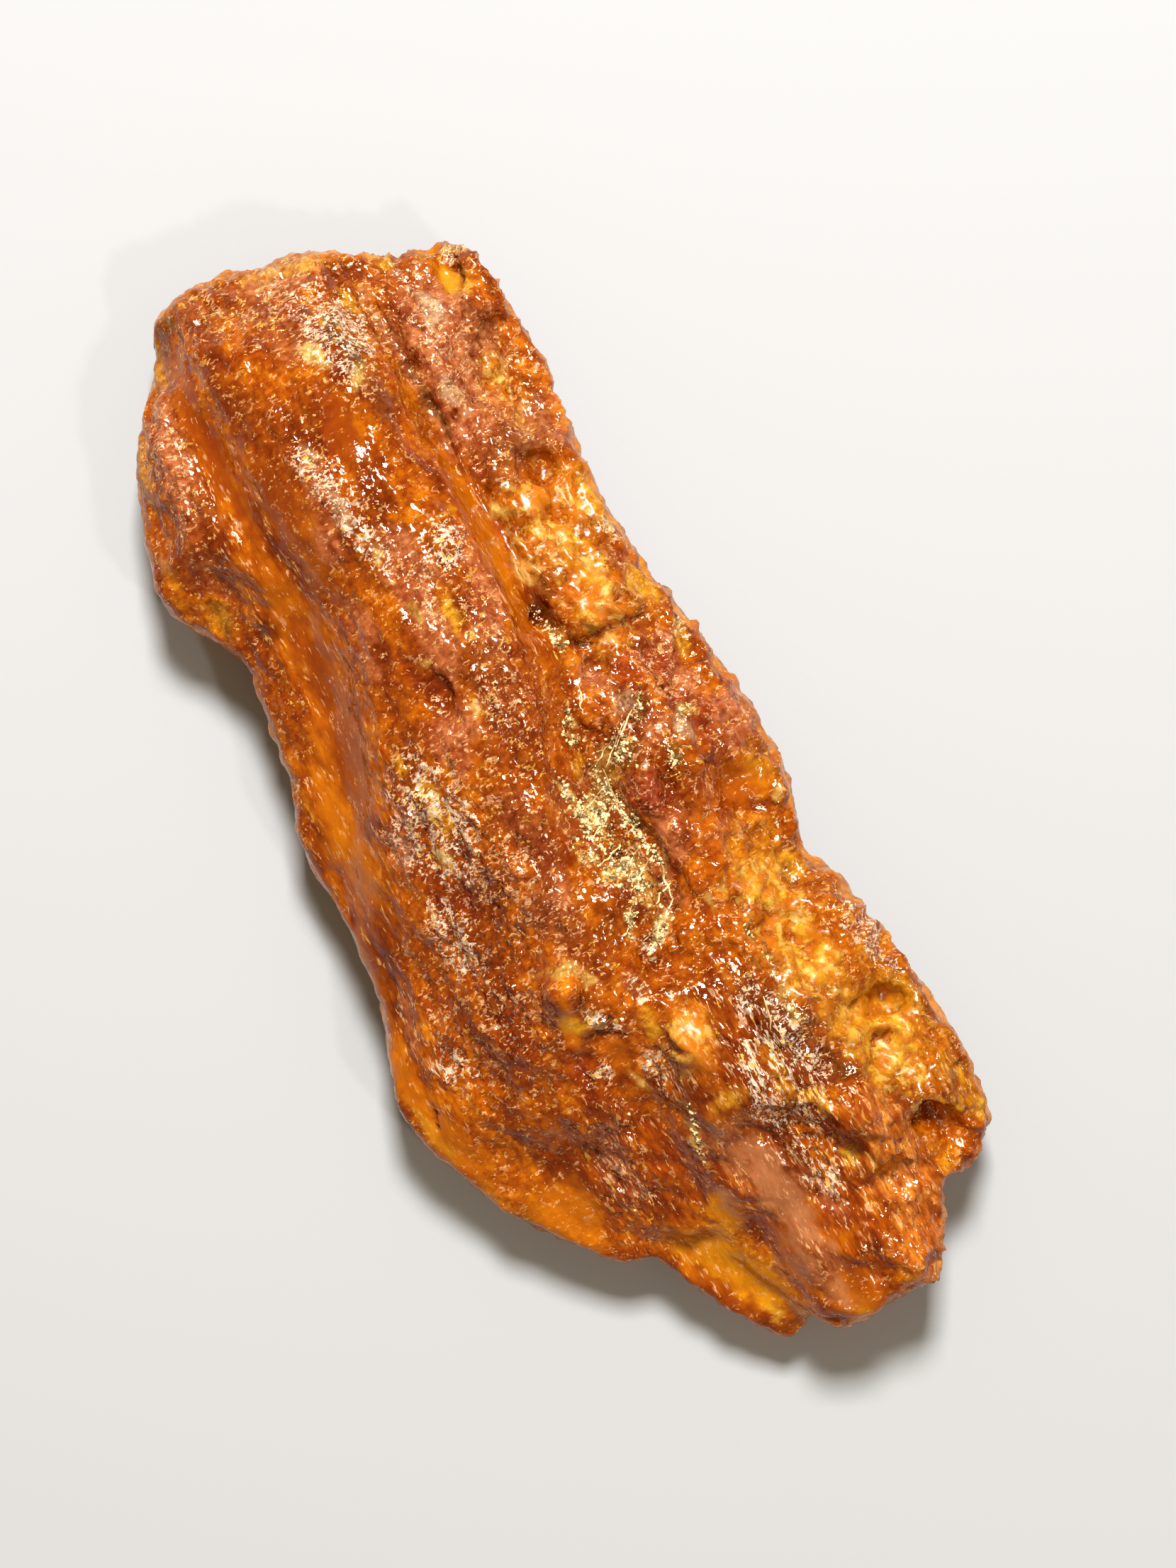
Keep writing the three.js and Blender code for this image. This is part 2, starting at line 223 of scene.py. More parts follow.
# %% Zones of the skin
DRAWN_FROM = (1.28, 1.25)
ZONES = {
    # honeycomb of little cells with golden walls
    "comb": [
        (-14.5, 8.4, 3.4, 3.2), (-22.6, 9.7, 2.2, 1), (13, 8.3, 4.6, 2.3, 4), (-9, 8.2, 2.8, 2.4),
        (20.6, 10.4, 3.4, 2.4), (9, 7.8, 1.6, 2), (14.4, 0.3, 2, 1.6),
    ],
    # frosted, grainy crust
    "crust": [
        (-26, 8.4, 6.6, 2.8), (-4, 9.4, 3, 2.4), (16.2, 5, 5, 2.1, 8), (1.2, -4.2, 8.5, 4, -8),
        (-28.4, -8.8, 5.6, 1.6, -12), (-8, 1.2, 6.6, 2.2, -18), (23, 3.8, 5, 1.8, -4),
        (14, 12.2, 4.6, 1.2, 6), (19, -6.8, 4.2, 2.2, -8), (-34, 0, 3, 5.5), (8, -7.5, 5, 2.6, -10),
        (8.5, -11.4, 5, 2, -8), (-21, -1.2, 5.5, 1.4, 6), (-1.2, 5, 3.6, 2.4), (5, 2.6, 5.5, 1.8),
        (-14, 0.2, 4, 1.2),
    ],
    # smooth skin, without grain
    "sleek": [
        (-27.5, -6.4, 7, 0.9, -2), (-10.5, -8.1, 6.6, 1.5, -12), (-16.5, -7.2, 5, 1.4, -4),
        (-24.4, 0.4, 1.9, 1.1), (-29.7, 10.3, 1.3, 0.8), (-21.5, -4.4, 5.5, 1.1),
        (-15.5, 4.6, 7, 0.7, -6), (24.6, 0.7, 5, 1.1, 10), (28.4, -0.4, 3, 0.8), (24.4, -2.6, 1.7, 1.1),
        (10.7, -5, 2, 0.8, -8), (28.4, -4, 4.8, 1.9, 24), (20.6, -11.2, 3.6, 2.5, -48),
        (32.6, 1.2, 2.2, 1.9), (-4.5, -11, 5, 1.5, -8), (18.4, 10.9, 0.7, 1.5), (20.7, 10, 0.7, 0.6),
        (-17.5, 9.3, 1.4, 1.2), (3.8, 10.6, 1.6, 1.4), (13.4, -3.4, 1.2, 0.8), (12, -14.6, 6, 1, 4),
        (2, -13.2, 5, 0.6, -14),
    ],
    # glittering patches, with many painted pale glints
    "glitter": [
        (-29.4, 3, 3.4, 2.4), (-16, 2.4, 1.6, 1.7), (-21, -1.8, 4.2, 0.7, 8),
        (-3.6, -6.3, 4.2, 2.4, -16), (-31.2, 11.3, 0.9, 1), (17.4, 5, 3.6, 1.5, 8),
        (3, -8.3, 2.6, 1.2, -10), (-5.6, 11.6, 1, 0.9), (-12.6, 11.2, 1.2, 0.5, 8),
        (10.8, -0.9, 1, 0.9), (19.6, 2.6, 3.6, 1.6), (11.4, -3.2, 1.6, 0.6, 20), (15.4, -1.6, 1.6, 0.9),
        (9.6, -12, 1.4, 0.8, 40), (13.6, -4.9, 0.5, 1), (14.6, 12.3, 2.8, 0.8, 8),
        (25.2, 3.2, 1.4, 0.8), (-17.6, -0.9, 1.4, 0.7), (8.8, 1.2, 0.9, 1),
    ],
    # creeping streaks along the lump
    "streaked": [
        (28, 6.6, 7, 2, -6), (23, 3.4, 6, 2, 6), (19, -1.6, 5, 0.8, 10), (-8, 1.6, 6, 1.6, -18),
        (31, 3.6, 3.2, 1.6), (24, 11, 4, 2, 20), (17, 4.6, 6, 2.2, 4), (20, -6, 5, 2, -8),
    ],
}
print("ovals in each zone:", {name: len(places) for name, places in ZONES.items()})

# %% How strong each zone is
FLANK_EDGE = (4.4, 6.0)
WALL_SHARE = 0.3


def drawn_place(at, axis, bends):
    """Where each vertex is on the drawing along one axis, bent by waves."""
    place = at[:, axis] - DRAWN_FROM[axis]
    for amount, size, shift in bends:
        place = place + amount * waves(at, size, shift)
    return place


at, out = read_points(resin.data)
plan_x = drawn_place(at, 0, [(0.5, 2.2, 3.1), (0.2, 0.8, 5.5)])
plan_y = drawn_place(at, 1, [(0.5, 2.2, 8.7), (0.2, 0.8, 9.5)])
upness = out[:, 2]
facing_up = smooth(upness, 0.0, 0.4)
zone = {name: ovals(plan_x, plan_y, places) * facing_up for name, places in ZONES.items()}
flank = smooth(plan_y, *FLANK_EDGE) * smooth(upness, -0.5, 0.1)
walls = smooth(upness, 0.35, 0.05) * smooth(upness, -0.9, -0.4)
zone["crust"] = np.maximum(zone["crust"], WALL_SHARE * walls)
print("share of the skin in each zone:", {n: round(float(z.mean()), 3) for n, z in zone.items()})

# %% [markdown]
# ## Creases, cracks and holes
# Some features have a name and a place of their own: the long crease under the eaten
# flank, the crevice that holds the dust, thin cracks, a few holes and knobs. Paths and
# ovals with a depth each are enough, and the same lists later say how much shade to
# paint into each groove and hole.

# %% Grooves and cracks
GROOVES = [
    # points, half width, depth, how much shade is painted in it
    ([
        (-34, 5.7), (-30, 5.3), (-26, 5.6), (-24, 4.6), (-20, 5.2), (-15, 5), (-12, 4.4),
    ], 0.35, 0.18, 0.05),
    ([(-12, 4.4), (-9.5, 3.7), (-6, 3), (-4, 2.2), (0, 0.8)], 0.3, 0.15, 0.3),
    ([(-29.6, 5.4), (-26.4, 5.6)], 0.4, 0.22, 0.25),
    ([(-29.6, 6.6), (-28.4, 6.9), (-27.4, 7.3)], 0.22, 0.25, 0.8),
    ([(-7.3, 9.9), (-7.5, 8.6), (-7.7, 7.4), (-7.5, 6.2)], 0.25, 0.35, 0.8),
    ([(-9.6, 5.5), (-8.8, 5.7), (-7.8, 6.1), (-7.4, 6.6)], 0.2, 0.3, 0.7),
    ([(-3.6, 9), (-2.6, 9.2), (-1.8, 9)], 0.2, 0.25, 0.8),
    ([(0.2, 6.6), (0.7, 7.2), (1.6, 6.8), (2.6, 6)], 0.22, 0.3, 0.6),
    ([(9.3, 10.2), (9.8, 9.6), (10.3, 9.9)], 0.22, 0.3, 0.7),
    ([(17.6, 12), (17.8, 10.8), (17.9, 9.4)], 0.25, 0.3, 0.1),
    ([(20, 10.4), (20.2, 9.6), (21, 9.2)], 0.25, 0.25, 0.3),
    ([(-1, 3.5), (0.3, 3.5), (1.2, 3.2), (3, 3.3), (3.8, 3.8), (6.2, 4), (7.3, 3.7)], 0.45, 0.4, 0.2),
    ([(7.3, 3.7), (8.2, 2.7), (9.2, 1.4)], 0.35, 0.3, 0.2),
    ([(-12, -5.8), (-9, -6.7), (-6.5, -7.9), (-5, -9), (-3.8, -10), (-2, -11.5)], 0.25, -0.12, 0),
    ([(2, -12.3), (4, -13), (7, -13.7), (12, -14.7)], 0.2, 0.18, 0.3),
    ([(11, -14.5), (12.1, -14.7)], 0.14, 0.2, 1),
    ([(12.4, -2.9), (12, -4.2), (12.6, -5.6), (14.6, -5.9)], 0.22, 0.25, 0.7),
    ([(17.5, -1.3), (19.4, -1.9), (21.8, -2.5)], 0.2, -0.18, 0),
    ([(25, -7), (27.4, -6.2), (31, -4)], 0.4, -0.1, 0),
    ([(16.2, 2.3), (15.4, 1.9), (14.6, 2.1)], 0.25, 0.3, 0.8),
    ([(20.2, 0.4), (21.6, 1.6), (24, 2.2)], 0.2, 0.2, 0.4),
    ([(22.2, 2.6), (23.2, 3.6), (23.8, 4.6)], 0.25, 0.15, 0.2),
]
print("grooves:", len(GROOVES))

# %% Holes and knobs
HOLES = [
    # x, y, half length, half width, depth, how much shade is painted in it
    (-10.2, 5, 0.45, 0.45, 0.6, 0.9), (25.6, 10, 0.7, 1.1, 1.1, 0.75), (26.6, 10.8, 1.4, 0.8, 0.7, 0.1),
    (2.5, 2.8, 0.45, 0.25, 0.5, 1), (6.3, 3.5, 0.4, 0.22, 0.5, 1), (3.6, 2.3, 0.25, 0.6, 0.4, 0.8),
    (15.5, 2, 0.4, 0.22, 0.5, 1), (12.9, -4.9, 0.5, 0.4, 0.4, 1), (-17.5, 9.3, 1.1, 1, 0.7, 0.5),
    (-24.9, 9.4, 0.5, 0.35, 0.5, 0.6), (-24.1, 7.3, 0.3, 0.45, 0.4, 0.6), (-23, 8, 0.3, 0.25, 0.4, 0.8),
    (-21.9, 10.1, 0.7, 0.3, 0.4, 0.7), (-29.9, 10.4, 1.3, 0.8, 0.7, 0),
    (-4.3, 5.5, 0.25, 0.2, 0.4, 0.9), (-3.3, 3.9, 0.5, 0.22, 0.3, 0.6), (18.6, 10.8, 0.8, 1.5, 0.5, 0),
    (20.6, 9.9, 0.8, 0.6, 0.4, 0), (22.3, 9.8, 0.35, 0.4, 0.5, 0.7), (9.6, 6.4, 0.6, 0.4, 0.4, 0.3),
    (11.3, 7, 0.5, 0.6, 0.5, 0.3), (-9, -2, 1.2, 0.8, 0.5, 0.5), (5.5, 10.6, 0.35, 0.6, 0.5, 0.6),
    (3, 9.4, 1.6, 1, 0.6, 0.2), (33.6, -0.4, 0.8, 0.3, 0.3, 0.2), (13.5, 8.6, 0.8, 0.7, 0.4, 0.1),
]
KNOBS = [
    # x, y, half length, half width, height
    (1.3, 5.2, 1.5, 1.3, 0.45), (0.6, 7.7, 0.8, 0.6, 0.35), (-0.8, 7.5, 0.7, 0.7, 0.35),
    (0.8, 9.7, 0.7, 0.5, 0.3), (1.5, 8.5, 0.5, 0.6, 0.3), (7, 5.2, 0.8, 0.6, 0.4),
    (-8.2, 8.6, 0.9, 0.8, 0.35), (-9.6, 9.6, 0.8, 0.7, 0.3), (-10.4, 7.6, 0.8, 0.6, 0.3),
    (8.6, -3.9, 1.3, 1.2, 0.3), (14.4, 0.6, 1.8, 1.3, 0.22), (13.9, 7.3, 0.8, 0.6, 0.35),
    (-23.3, 6.8, 0.8, 0.8, 0.25), (-28.6, 8.3, 1, 0.7, 0.25), (-1.3, -6.3, 0.7, 0.5, 0.3),
    (-1, -8.9, 0.6, 0.6, 0.3), (5.6, 0.6, 0.9, 0.8, 0.3), (8.6, 1, 0.7, 0.9, 0.3),
    (3.2, 1, 0.6, 0.7, 0.25), (17, 3.2, 0.7, 0.4, 0.25), (-6.6, 5.4, 0.8, 0.5, 0.3),
    (16.4, 9, 0.9, 0.5, 0.3), (33.2, 5.4, 0.9, 0.6, 0.25), (7, -6.7, 0.5, 0.7, 0.3),
]
print("holes:", len(HOLES), "knobs:", len(KNOBS))

# %% Cutting the named features
GROOVE_FLOOR = 0.2
GROOVE_RIM = 1.7
HOLE_SOFT = 0.6
KNOB_SOFT = 0.9


def carved(x, y, shown):
    """How deep each groove and hole cuts, less how far the knobs stand out, and its painted shade."""
    depth = np.zeros(len(x))
    dark = np.zeros(len(x))
    for points, half_width, deep, painted_shade_share in GROOVES:
        reach = path_distance(x, y, points) / half_width
        cut = 1 - smooth(reach, GROOVE_FLOOR, GROOVE_RIM)
        depth += deep * cut
        dark = np.maximum(dark, painted_shade_share * cut)
    for *place, deep, painted_shade_share in HOLES:
        cut = oval(x, y, place, HOLE_SOFT)
        depth += deep * cut
        dark = np.maximum(dark, painted_shade_share * cut)
    for *place, high in KNOBS:
        depth -= high * oval(x, y, place, KNOB_SOFT)
    return depth * shown, dark * shown


near_x = drawn_place(at, 0, [(0.30, 1.1, 2.1)])
near_y = drawn_place(at, 1, [(0.30, 1.1, 6.1)])
# Painted shade for the grooves and holes, laid on the skin colour further on.
cut_depth, cut_painted_shade = carved(near_x, near_y, facing_up)
print("named cuts, mm:", round(float(cut_depth.min()), 2), "to", round(float(cut_depth.max()), 2))

# %% [markdown]
# ## Carving the relief
# The relief is built from large to small, as weather and breaking did it: rolling waves,
# the pits of the eaten flank, the honeycomb with its thin walls, then grain. Each
# formula gives a height in millimetres, and all of them together push the skin in or out
# along its own direction. The underside stays smooth, so that the lump lies as it did.

# %% Waves of many sizes
EVERYWHERE = [
    # height, distance between crests, shift, squeeze along the lump
    (0.16, 2.6, 1.3, 1.0), (0.10, 1.3, 5.1, 1.0),
]
ON_ROUGH_SKIN = [(0.12, 0.8, 2.2, 0.35), (0.08, 0.6, 4.4, 1.0)]
ON_STREAKS = [(0.14, 0.45, 7.2, 0.2)]
WARP = 0.3


def rolling(at, swells):
    """Waves of several sizes, added up."""
    total = np.zeros(len(at))
    for height, size, shift, squeeze in swells:
        total += height * waves(at * [squeeze, 1.0, 1.0], size, shift)
    return total


rough = np.clip(1 - 1.2 * zone["sleek"], 0, 1)
relief = rolling(at, EVERYWHERE)
relief += rough * rolling(at, ON_ROUGH_SKIN)
relief += zone["streaked"] * rolling(at, ON_STREAKS)
warped = at + WARP * np.stack([waves(at, 0.9, shift) for shift in (1.0, 2.0, 3.0)], axis=1)
print("waves from", round(float(relief.min()), 2), "to", round(float(relief.max()), 2), "mm")


# %% Pits, grain and cuts
def pits(at, size, shift, wall, bowl):
    """Eaten cells: thin walls wall mm high around bowls of up to bowl mm, no two alike."""
    first, second, number = cells(at, size, shift)
    uneven = (number % 17) / 16
    rim = 1 - smooth(second - first, 0.0, 0.28)
    floor = uneven * (1 - smooth(first, 0.05, 0.7))
    return wall * rim * (0.3 + 0.7 * uneven) - bowl * floor, rim, floor


comb = zone["comb"]
weathered = 0.25 + 0.75 * np.clip(zone["crust"] + flank, 0, 1)
big_pits, big_rim, big_floor = pits(warped, 1.5, 0.4, wall=0.30, bowl=1.00)
relief += comb * (big_pits + pits(warped, 0.75, 4.4, wall=0.14, bowl=0.40)[0])
relief += flank * (1 - 0.6 * comb) * pits(warped, 2.3, 2.9, wall=0.25, bowl=0.60)[0]
relief += rough * weathered * pits(warped, 0.85, 7.7, wall=0.08, bowl=0.22)[0]

first, _, number = cells(warped * [0.55, 1, 1], 0.55, 6.3)
grain = ((number % 13) / 12 - 0.5) * (1 - smooth(first, 0.3, 0.8))
grainy = np.clip(zone["crust"] + zone["glitter"] + 0.4 * flank, 0, 1)
relief += rough * grain * (0.08 + 0.26 * grainy)
relief -= cut_depth

underside = smooth(-upness, 0.5, 0.8)
relief *= 1 - underside
moved = np.clip(at + out * relief[:, None], np.array(cad_low) / MM, np.array(cad_high) / MM)
write_points(resin.data, moved)
print("relief from", round(float(relief.min()), 2), "to", round(float(relief.max()), 2), "mm")

# %% [markdown]
# ## Painting the resin's colours
# Thick resin looks red-brown, thin resin golden, weathered resin mauve, and dust is
# cream or olive. The colours are mixed as a screen shows them, from 0 to 255, and turned
# into the amounts of light that a shader wants. They are painted on the vertices in
# strokes, from the broadest to the smallest, each with rims broken up by waves. A few
# strokes paint light instead: a glow on thin edges, steep slopes and small windows, and
# some highlights and a sheen.

# %% Colours
def tone(red, green, blue):
    """A colour as a screen shows it, as amounts of light."""
    shown = np.array([red, green, blue]) / 255
    return np.where(shown < 0.04045, shown / 12.92, ((shown + 0.055) / 1.055) ** 2.4)


RED_BROWN = tone(168, 86, 8)
BURNT_ORANGE = tone(214, 124, 8)
BURNT_RED = tone(172, 82, 8)
MAUVE = tone(188, 112, 68)
PURPLE = tone(156, 94, 54)
RED_MAUVE = tone(200, 100, 48)
TERRACOTTA = tone(204, 142, 104)
SALMON = tone(255, 174, 82)
HONEY = tone(232, 138, 7)
DARK_AMBER = tone(208, 116, 8)
AMBER = tone(230, 142, 10)
KHAKI = tone(246, 172, 22)
SILVER = tone(222, 196, 180)
PLUM = tone(200, 104, 78)
GLOW = tone(255, 180, 14)
GOLD = tone(228, 160, 36)
# The painted glow of thin edges.
EDGE_GLOW_GOLD = tone(250, 174, 54)
CORAL = tone(248, 156, 46)
YELLOW = tone(255, 204, 64)
CREAM = tone(252, 226, 146)
OLIVE = tone(126, 98, 44)
PINK = tone(222, 146, 110)
# A dark red-brown, used only for painted shade.
PAINTED_SHADE_RED = tone(132, 46, 5)

# %% Mauve, pink and red skin
STROKES = [
    # colour, strength, ovals
    (MAUVE, 0.8, [
        (-26, 8.2, 6.5, 2.6), (-20, 7.6, 3, 2.4), (-27.5, -8.8, 5.5, 1.4, -14),
        (2.4, -2.2, 5.6, 2.2, -12), (-8.5, 1.2, 5.5, 1.5, -20), (-14, 0, 4, 1.1),
        (19.5, -7, 3.6, 1.6, -10), (-20.5, -2.8, 2.6, 0.8), (-6.8, -2.6, 1.6, 1.2),
        (10.5, -0.9, 1.2, 1), (-21.5, -10.2, 3, 1.2), (-34, 2, 1.4, 2.4), (-35, -3.6, 1.2, 1.2),
        (-31, 0.6, 2.4, 1.6), (1, 0.6, 3, 0.9),
    ]),
    (PURPLE, 0.8, [
        (16.2, 5.2, 4.6, 1.5, 8), (19.2, 6.4, 2.6, 0.8), (25.5, 2.6, 3.2, 0.5, 6), (-19.4, 9, 1.4, 2),
        (-11.2, 5.6, 0.9, 1.4, 60), (-25, 3.6, 2.2, 1),
    ]),
    (RED_MAUVE, 0.8, [
        (-4, 9.4, 2.6, 1.4), (-4.8, 7.8, 1.8, 1), (1.3, 4.9, 1.7, 1.2), (0.2, 10.5, 2.2, 1.6),
        (-15.8, 5.4, 1.8, 0.7), (3.8, 5.6, 2, 0.8),
    ]),
    (PINK, 0.8, [
        (-26, 8.4, 6.4, 2.4), (-22, 7, 3, 1.6), (26, 2.8, 2.6, 0.7, 6), (-34.4, 2.4, 1.6, 3.2),
        (-29, -8.6, 4, 1, -14), (-5, 6, 2, 1), (-14.4, 0, 4.2, 1.5, -6), (-19.4, 11.4, 2.2, 0.9),
        (1, 11.7, 2.2, 0.9), (13.6, 12.4, 3.4, 0.8, 8), (6.6, 3.9, 2.4, 0.9), (4.6, 4.9, 1.6, 0.7),
        (-7, -2.6, 1.6, 1.3), (-19.4, -3.2, 1.2, 0.8), (-12, 2.6, 2.4, 0.8, -10),
        (-22, -2, 3.4, 0.9, 4), (26, 3, 2, 0.5, 6), (-5.4, 10.4, 0.8, 0.6),
    ]),
    (PINK, 0.75, [
        (-12.5, 2.8, 4.4, 0.9, -10), (-12, -0.9, 4, 0.9, -8), (-6.4, -2.4, 2.4, 1.6, -30),
        (-16.6, -0.2, 2.2, 1.6), (-14, -4.2, 3.4, 0.9, -6), (3.6, -1.6, 2, 0.6, -10),
        (-3, -8, 2.6, 1, -20), (19, -6.6, 3.4, 1, -10),
    ]),
    (MAUVE, 0.7, [(-2.6, 6.2, 3, 1.4), (1.4, 5.6, 2.4, 1.3), (1.6, 10.4, 2, 1.2), (4.6, 6.4, 2, 0.8)]),
    (SILVER, 0.7, [(-0.4, 8.8, 0.9, 0.8), (-3.4, 6.6, 0.9, 0.5, -30), (1.9, 11.6, 1, 0.4)]),
    # Pale grey-lilac crust, and at y -1.6 on the crest a painted sheen.
    (SILVER, 0.8, [
        (-23.4, 7, 1.2, 0.8), (-28.5, 8.3, 1.2, 0.8), (-20.6, -1.6, 2, 0.5), (-24, -1.6, 1.2, 0.5),
    ]),
    (CORAL, 0.6, [(-27, 11.6, 4, 0.8), (-22, 11.8, 4, 0.7), (-33, 9, 0.8, 1.6, -20)]),
    (TERRACOTTA, 0.8, [(-26, 5.7, 6, 0.6), (-26, 10.6, 3, 1), (-20, 10.4, 2.2, 1.4)]),
    (TERRACOTTA, 0.9, [(25.6, 0.6, 6.6, 1.6, 4), (21.4, -0.9, 4, 1.1, 8), (30, 0.2, 3, 0.9)]),
    (SALMON, 1, [(27.8, 6.8, 7.2, 2, -6), (31, 5.2, 2.6, 1.2)]),
    (BURNT_RED, 0.85, [
        (-27, -6.5, 6.5, 0.8, -2), (-22.8, -4.4, 3.2, 1.1), (-24.8, 0.2, 2.4, 1.2),
        (-13.5, -7.6, 4.4, 1.2, -10), (-8.6, -8.4, 4, 1.2, -14), (-9, -2, 1.3, 0.7, 20),
        (9.6, -8.2, 3.6, 1.5, -6), (-35.2, -2, 1.2, 0.6), (13.4, -5.8, 2.6, 1.2),
        (-8, 3.4, 5, 0.5, -16), (-18, 4.6, 3.6, 0.5, -2), (1, -7, 1.8, 1), (-17.5, 9.3, 1.2, 1.1),
    ]),
]
print("strokes:", len(STROKES))

# %% Amber, honey and gold
STROKES += [
    (BURNT_ORANGE, 0.8, [
        (-4, -11, 5, 1.6, -10), (10.9, 2, 0.8, 2.2), (1, -2.7, 2.6, 0.5, -4),
        (3.2, -4.2, 1.5, 0.5, -50), (-26, -11, 2, 0.8), (23.2, 3.6, 1.6, 0.6, 40),
        (-23.4, 1.8, 1.6, 0.8), (29, 4.6, 3, 0.8, 6),
    ]),
    (DARK_AMBER, 0.85, [
        (3.4, 9.8, 1.7, 2.8), (18.2, -3.6, 4, 1.2, -8), (13.3, -3.6, 1.2, 0.8),
        (10.5, -12.6, 6.4, 2.2, -8),
    ]),
    (HONEY, 0.85, [
        (21, -10.6, 4.6, 1.9, 42), (16.2, -13.2, 2.6, 1, 14), (23.6, -7.6, 1.6, 1.2),
        (10.6, -5, 2.3, 0.9, -8), (11.4, -15.2, 2.4, 0.6, 6),
    ]),
    (AMBER, 0.85, [
        (6.2, 9.8, 1.6, 2.2), (-18.9, 1.2, 0.5, 1.4, -12), (-15.4, 10.2, 1.4, 1.2),
        (27.2, 11.6, 1.8, 1.4, 30), (-22, 10.2, 1.4, 0.6, 8),
    ]),
    # The ovals along the valley slope at x -29, -14, -7.4 and -2.6 are a painted glow that lightens its
    # shade.
    (AMBER, 0.8, [
        (-14, -5.7, 5, 0.5, -3), (-7.4, -7.3, 3.6, 0.6, -24), (-2.6, -9.6, 2.4, 0.6, -20),
        (-29, -5.2, 7, 0.6, -3), (-20, -8.8, 3, 0.8, -6), (26.6, 9.6, 1.6, 1.4),
        (29, -1.6, 3.4, 0.5, 10), (14.6, -9, 2.6, 1.4), (8, -12.9, 4, 0.7, -10),
    ]),
    (BURNT_ORANGE, 0.9, [
        (21.8, -3, 2.6, 0.5), (23.6, -4.6, 1.4, 1.2), (22, 12.7, 1.6, 0.6), (24.2, 11.9, 1.2, 0.6, 30),
    ]),
    (KHAKI, 0.85, [(28.6, -3.2, 5.4, 1.9, 24), (25.4, -5.9, 2, 1.3, 20), (-19.6, -11.2, 1.8, 0.9, 10)]),
    # Painted glow: small amber windows lit through the resin.
    (GLOW, 0.85, [
        (24.5, -2.8, 2.2, 1.1), (33.4, 1, 0.8, 0.9), (33, 4.4, 1.2, 1), (28.5, 9.6, 1, 0.9),
        (22.6, 13, 1.6, 0.6),
    ]),
    (DARK_AMBER, 0.75, [(-14.4, 8.2, 3, 2.8)]),
    (GOLD, 0.85, [
        (9.4, 8.8, 1.8, 2), (13.6, 8.2, 3.6, 1.8, 6), (20.4, 10.8, 3.4, 2.2), (24.6, 12.6, 3.2, 1, 12),
        (16.4, 11.4, 2.4, 1.2),
    ]),
]
print("strokes:", len(STROKES))
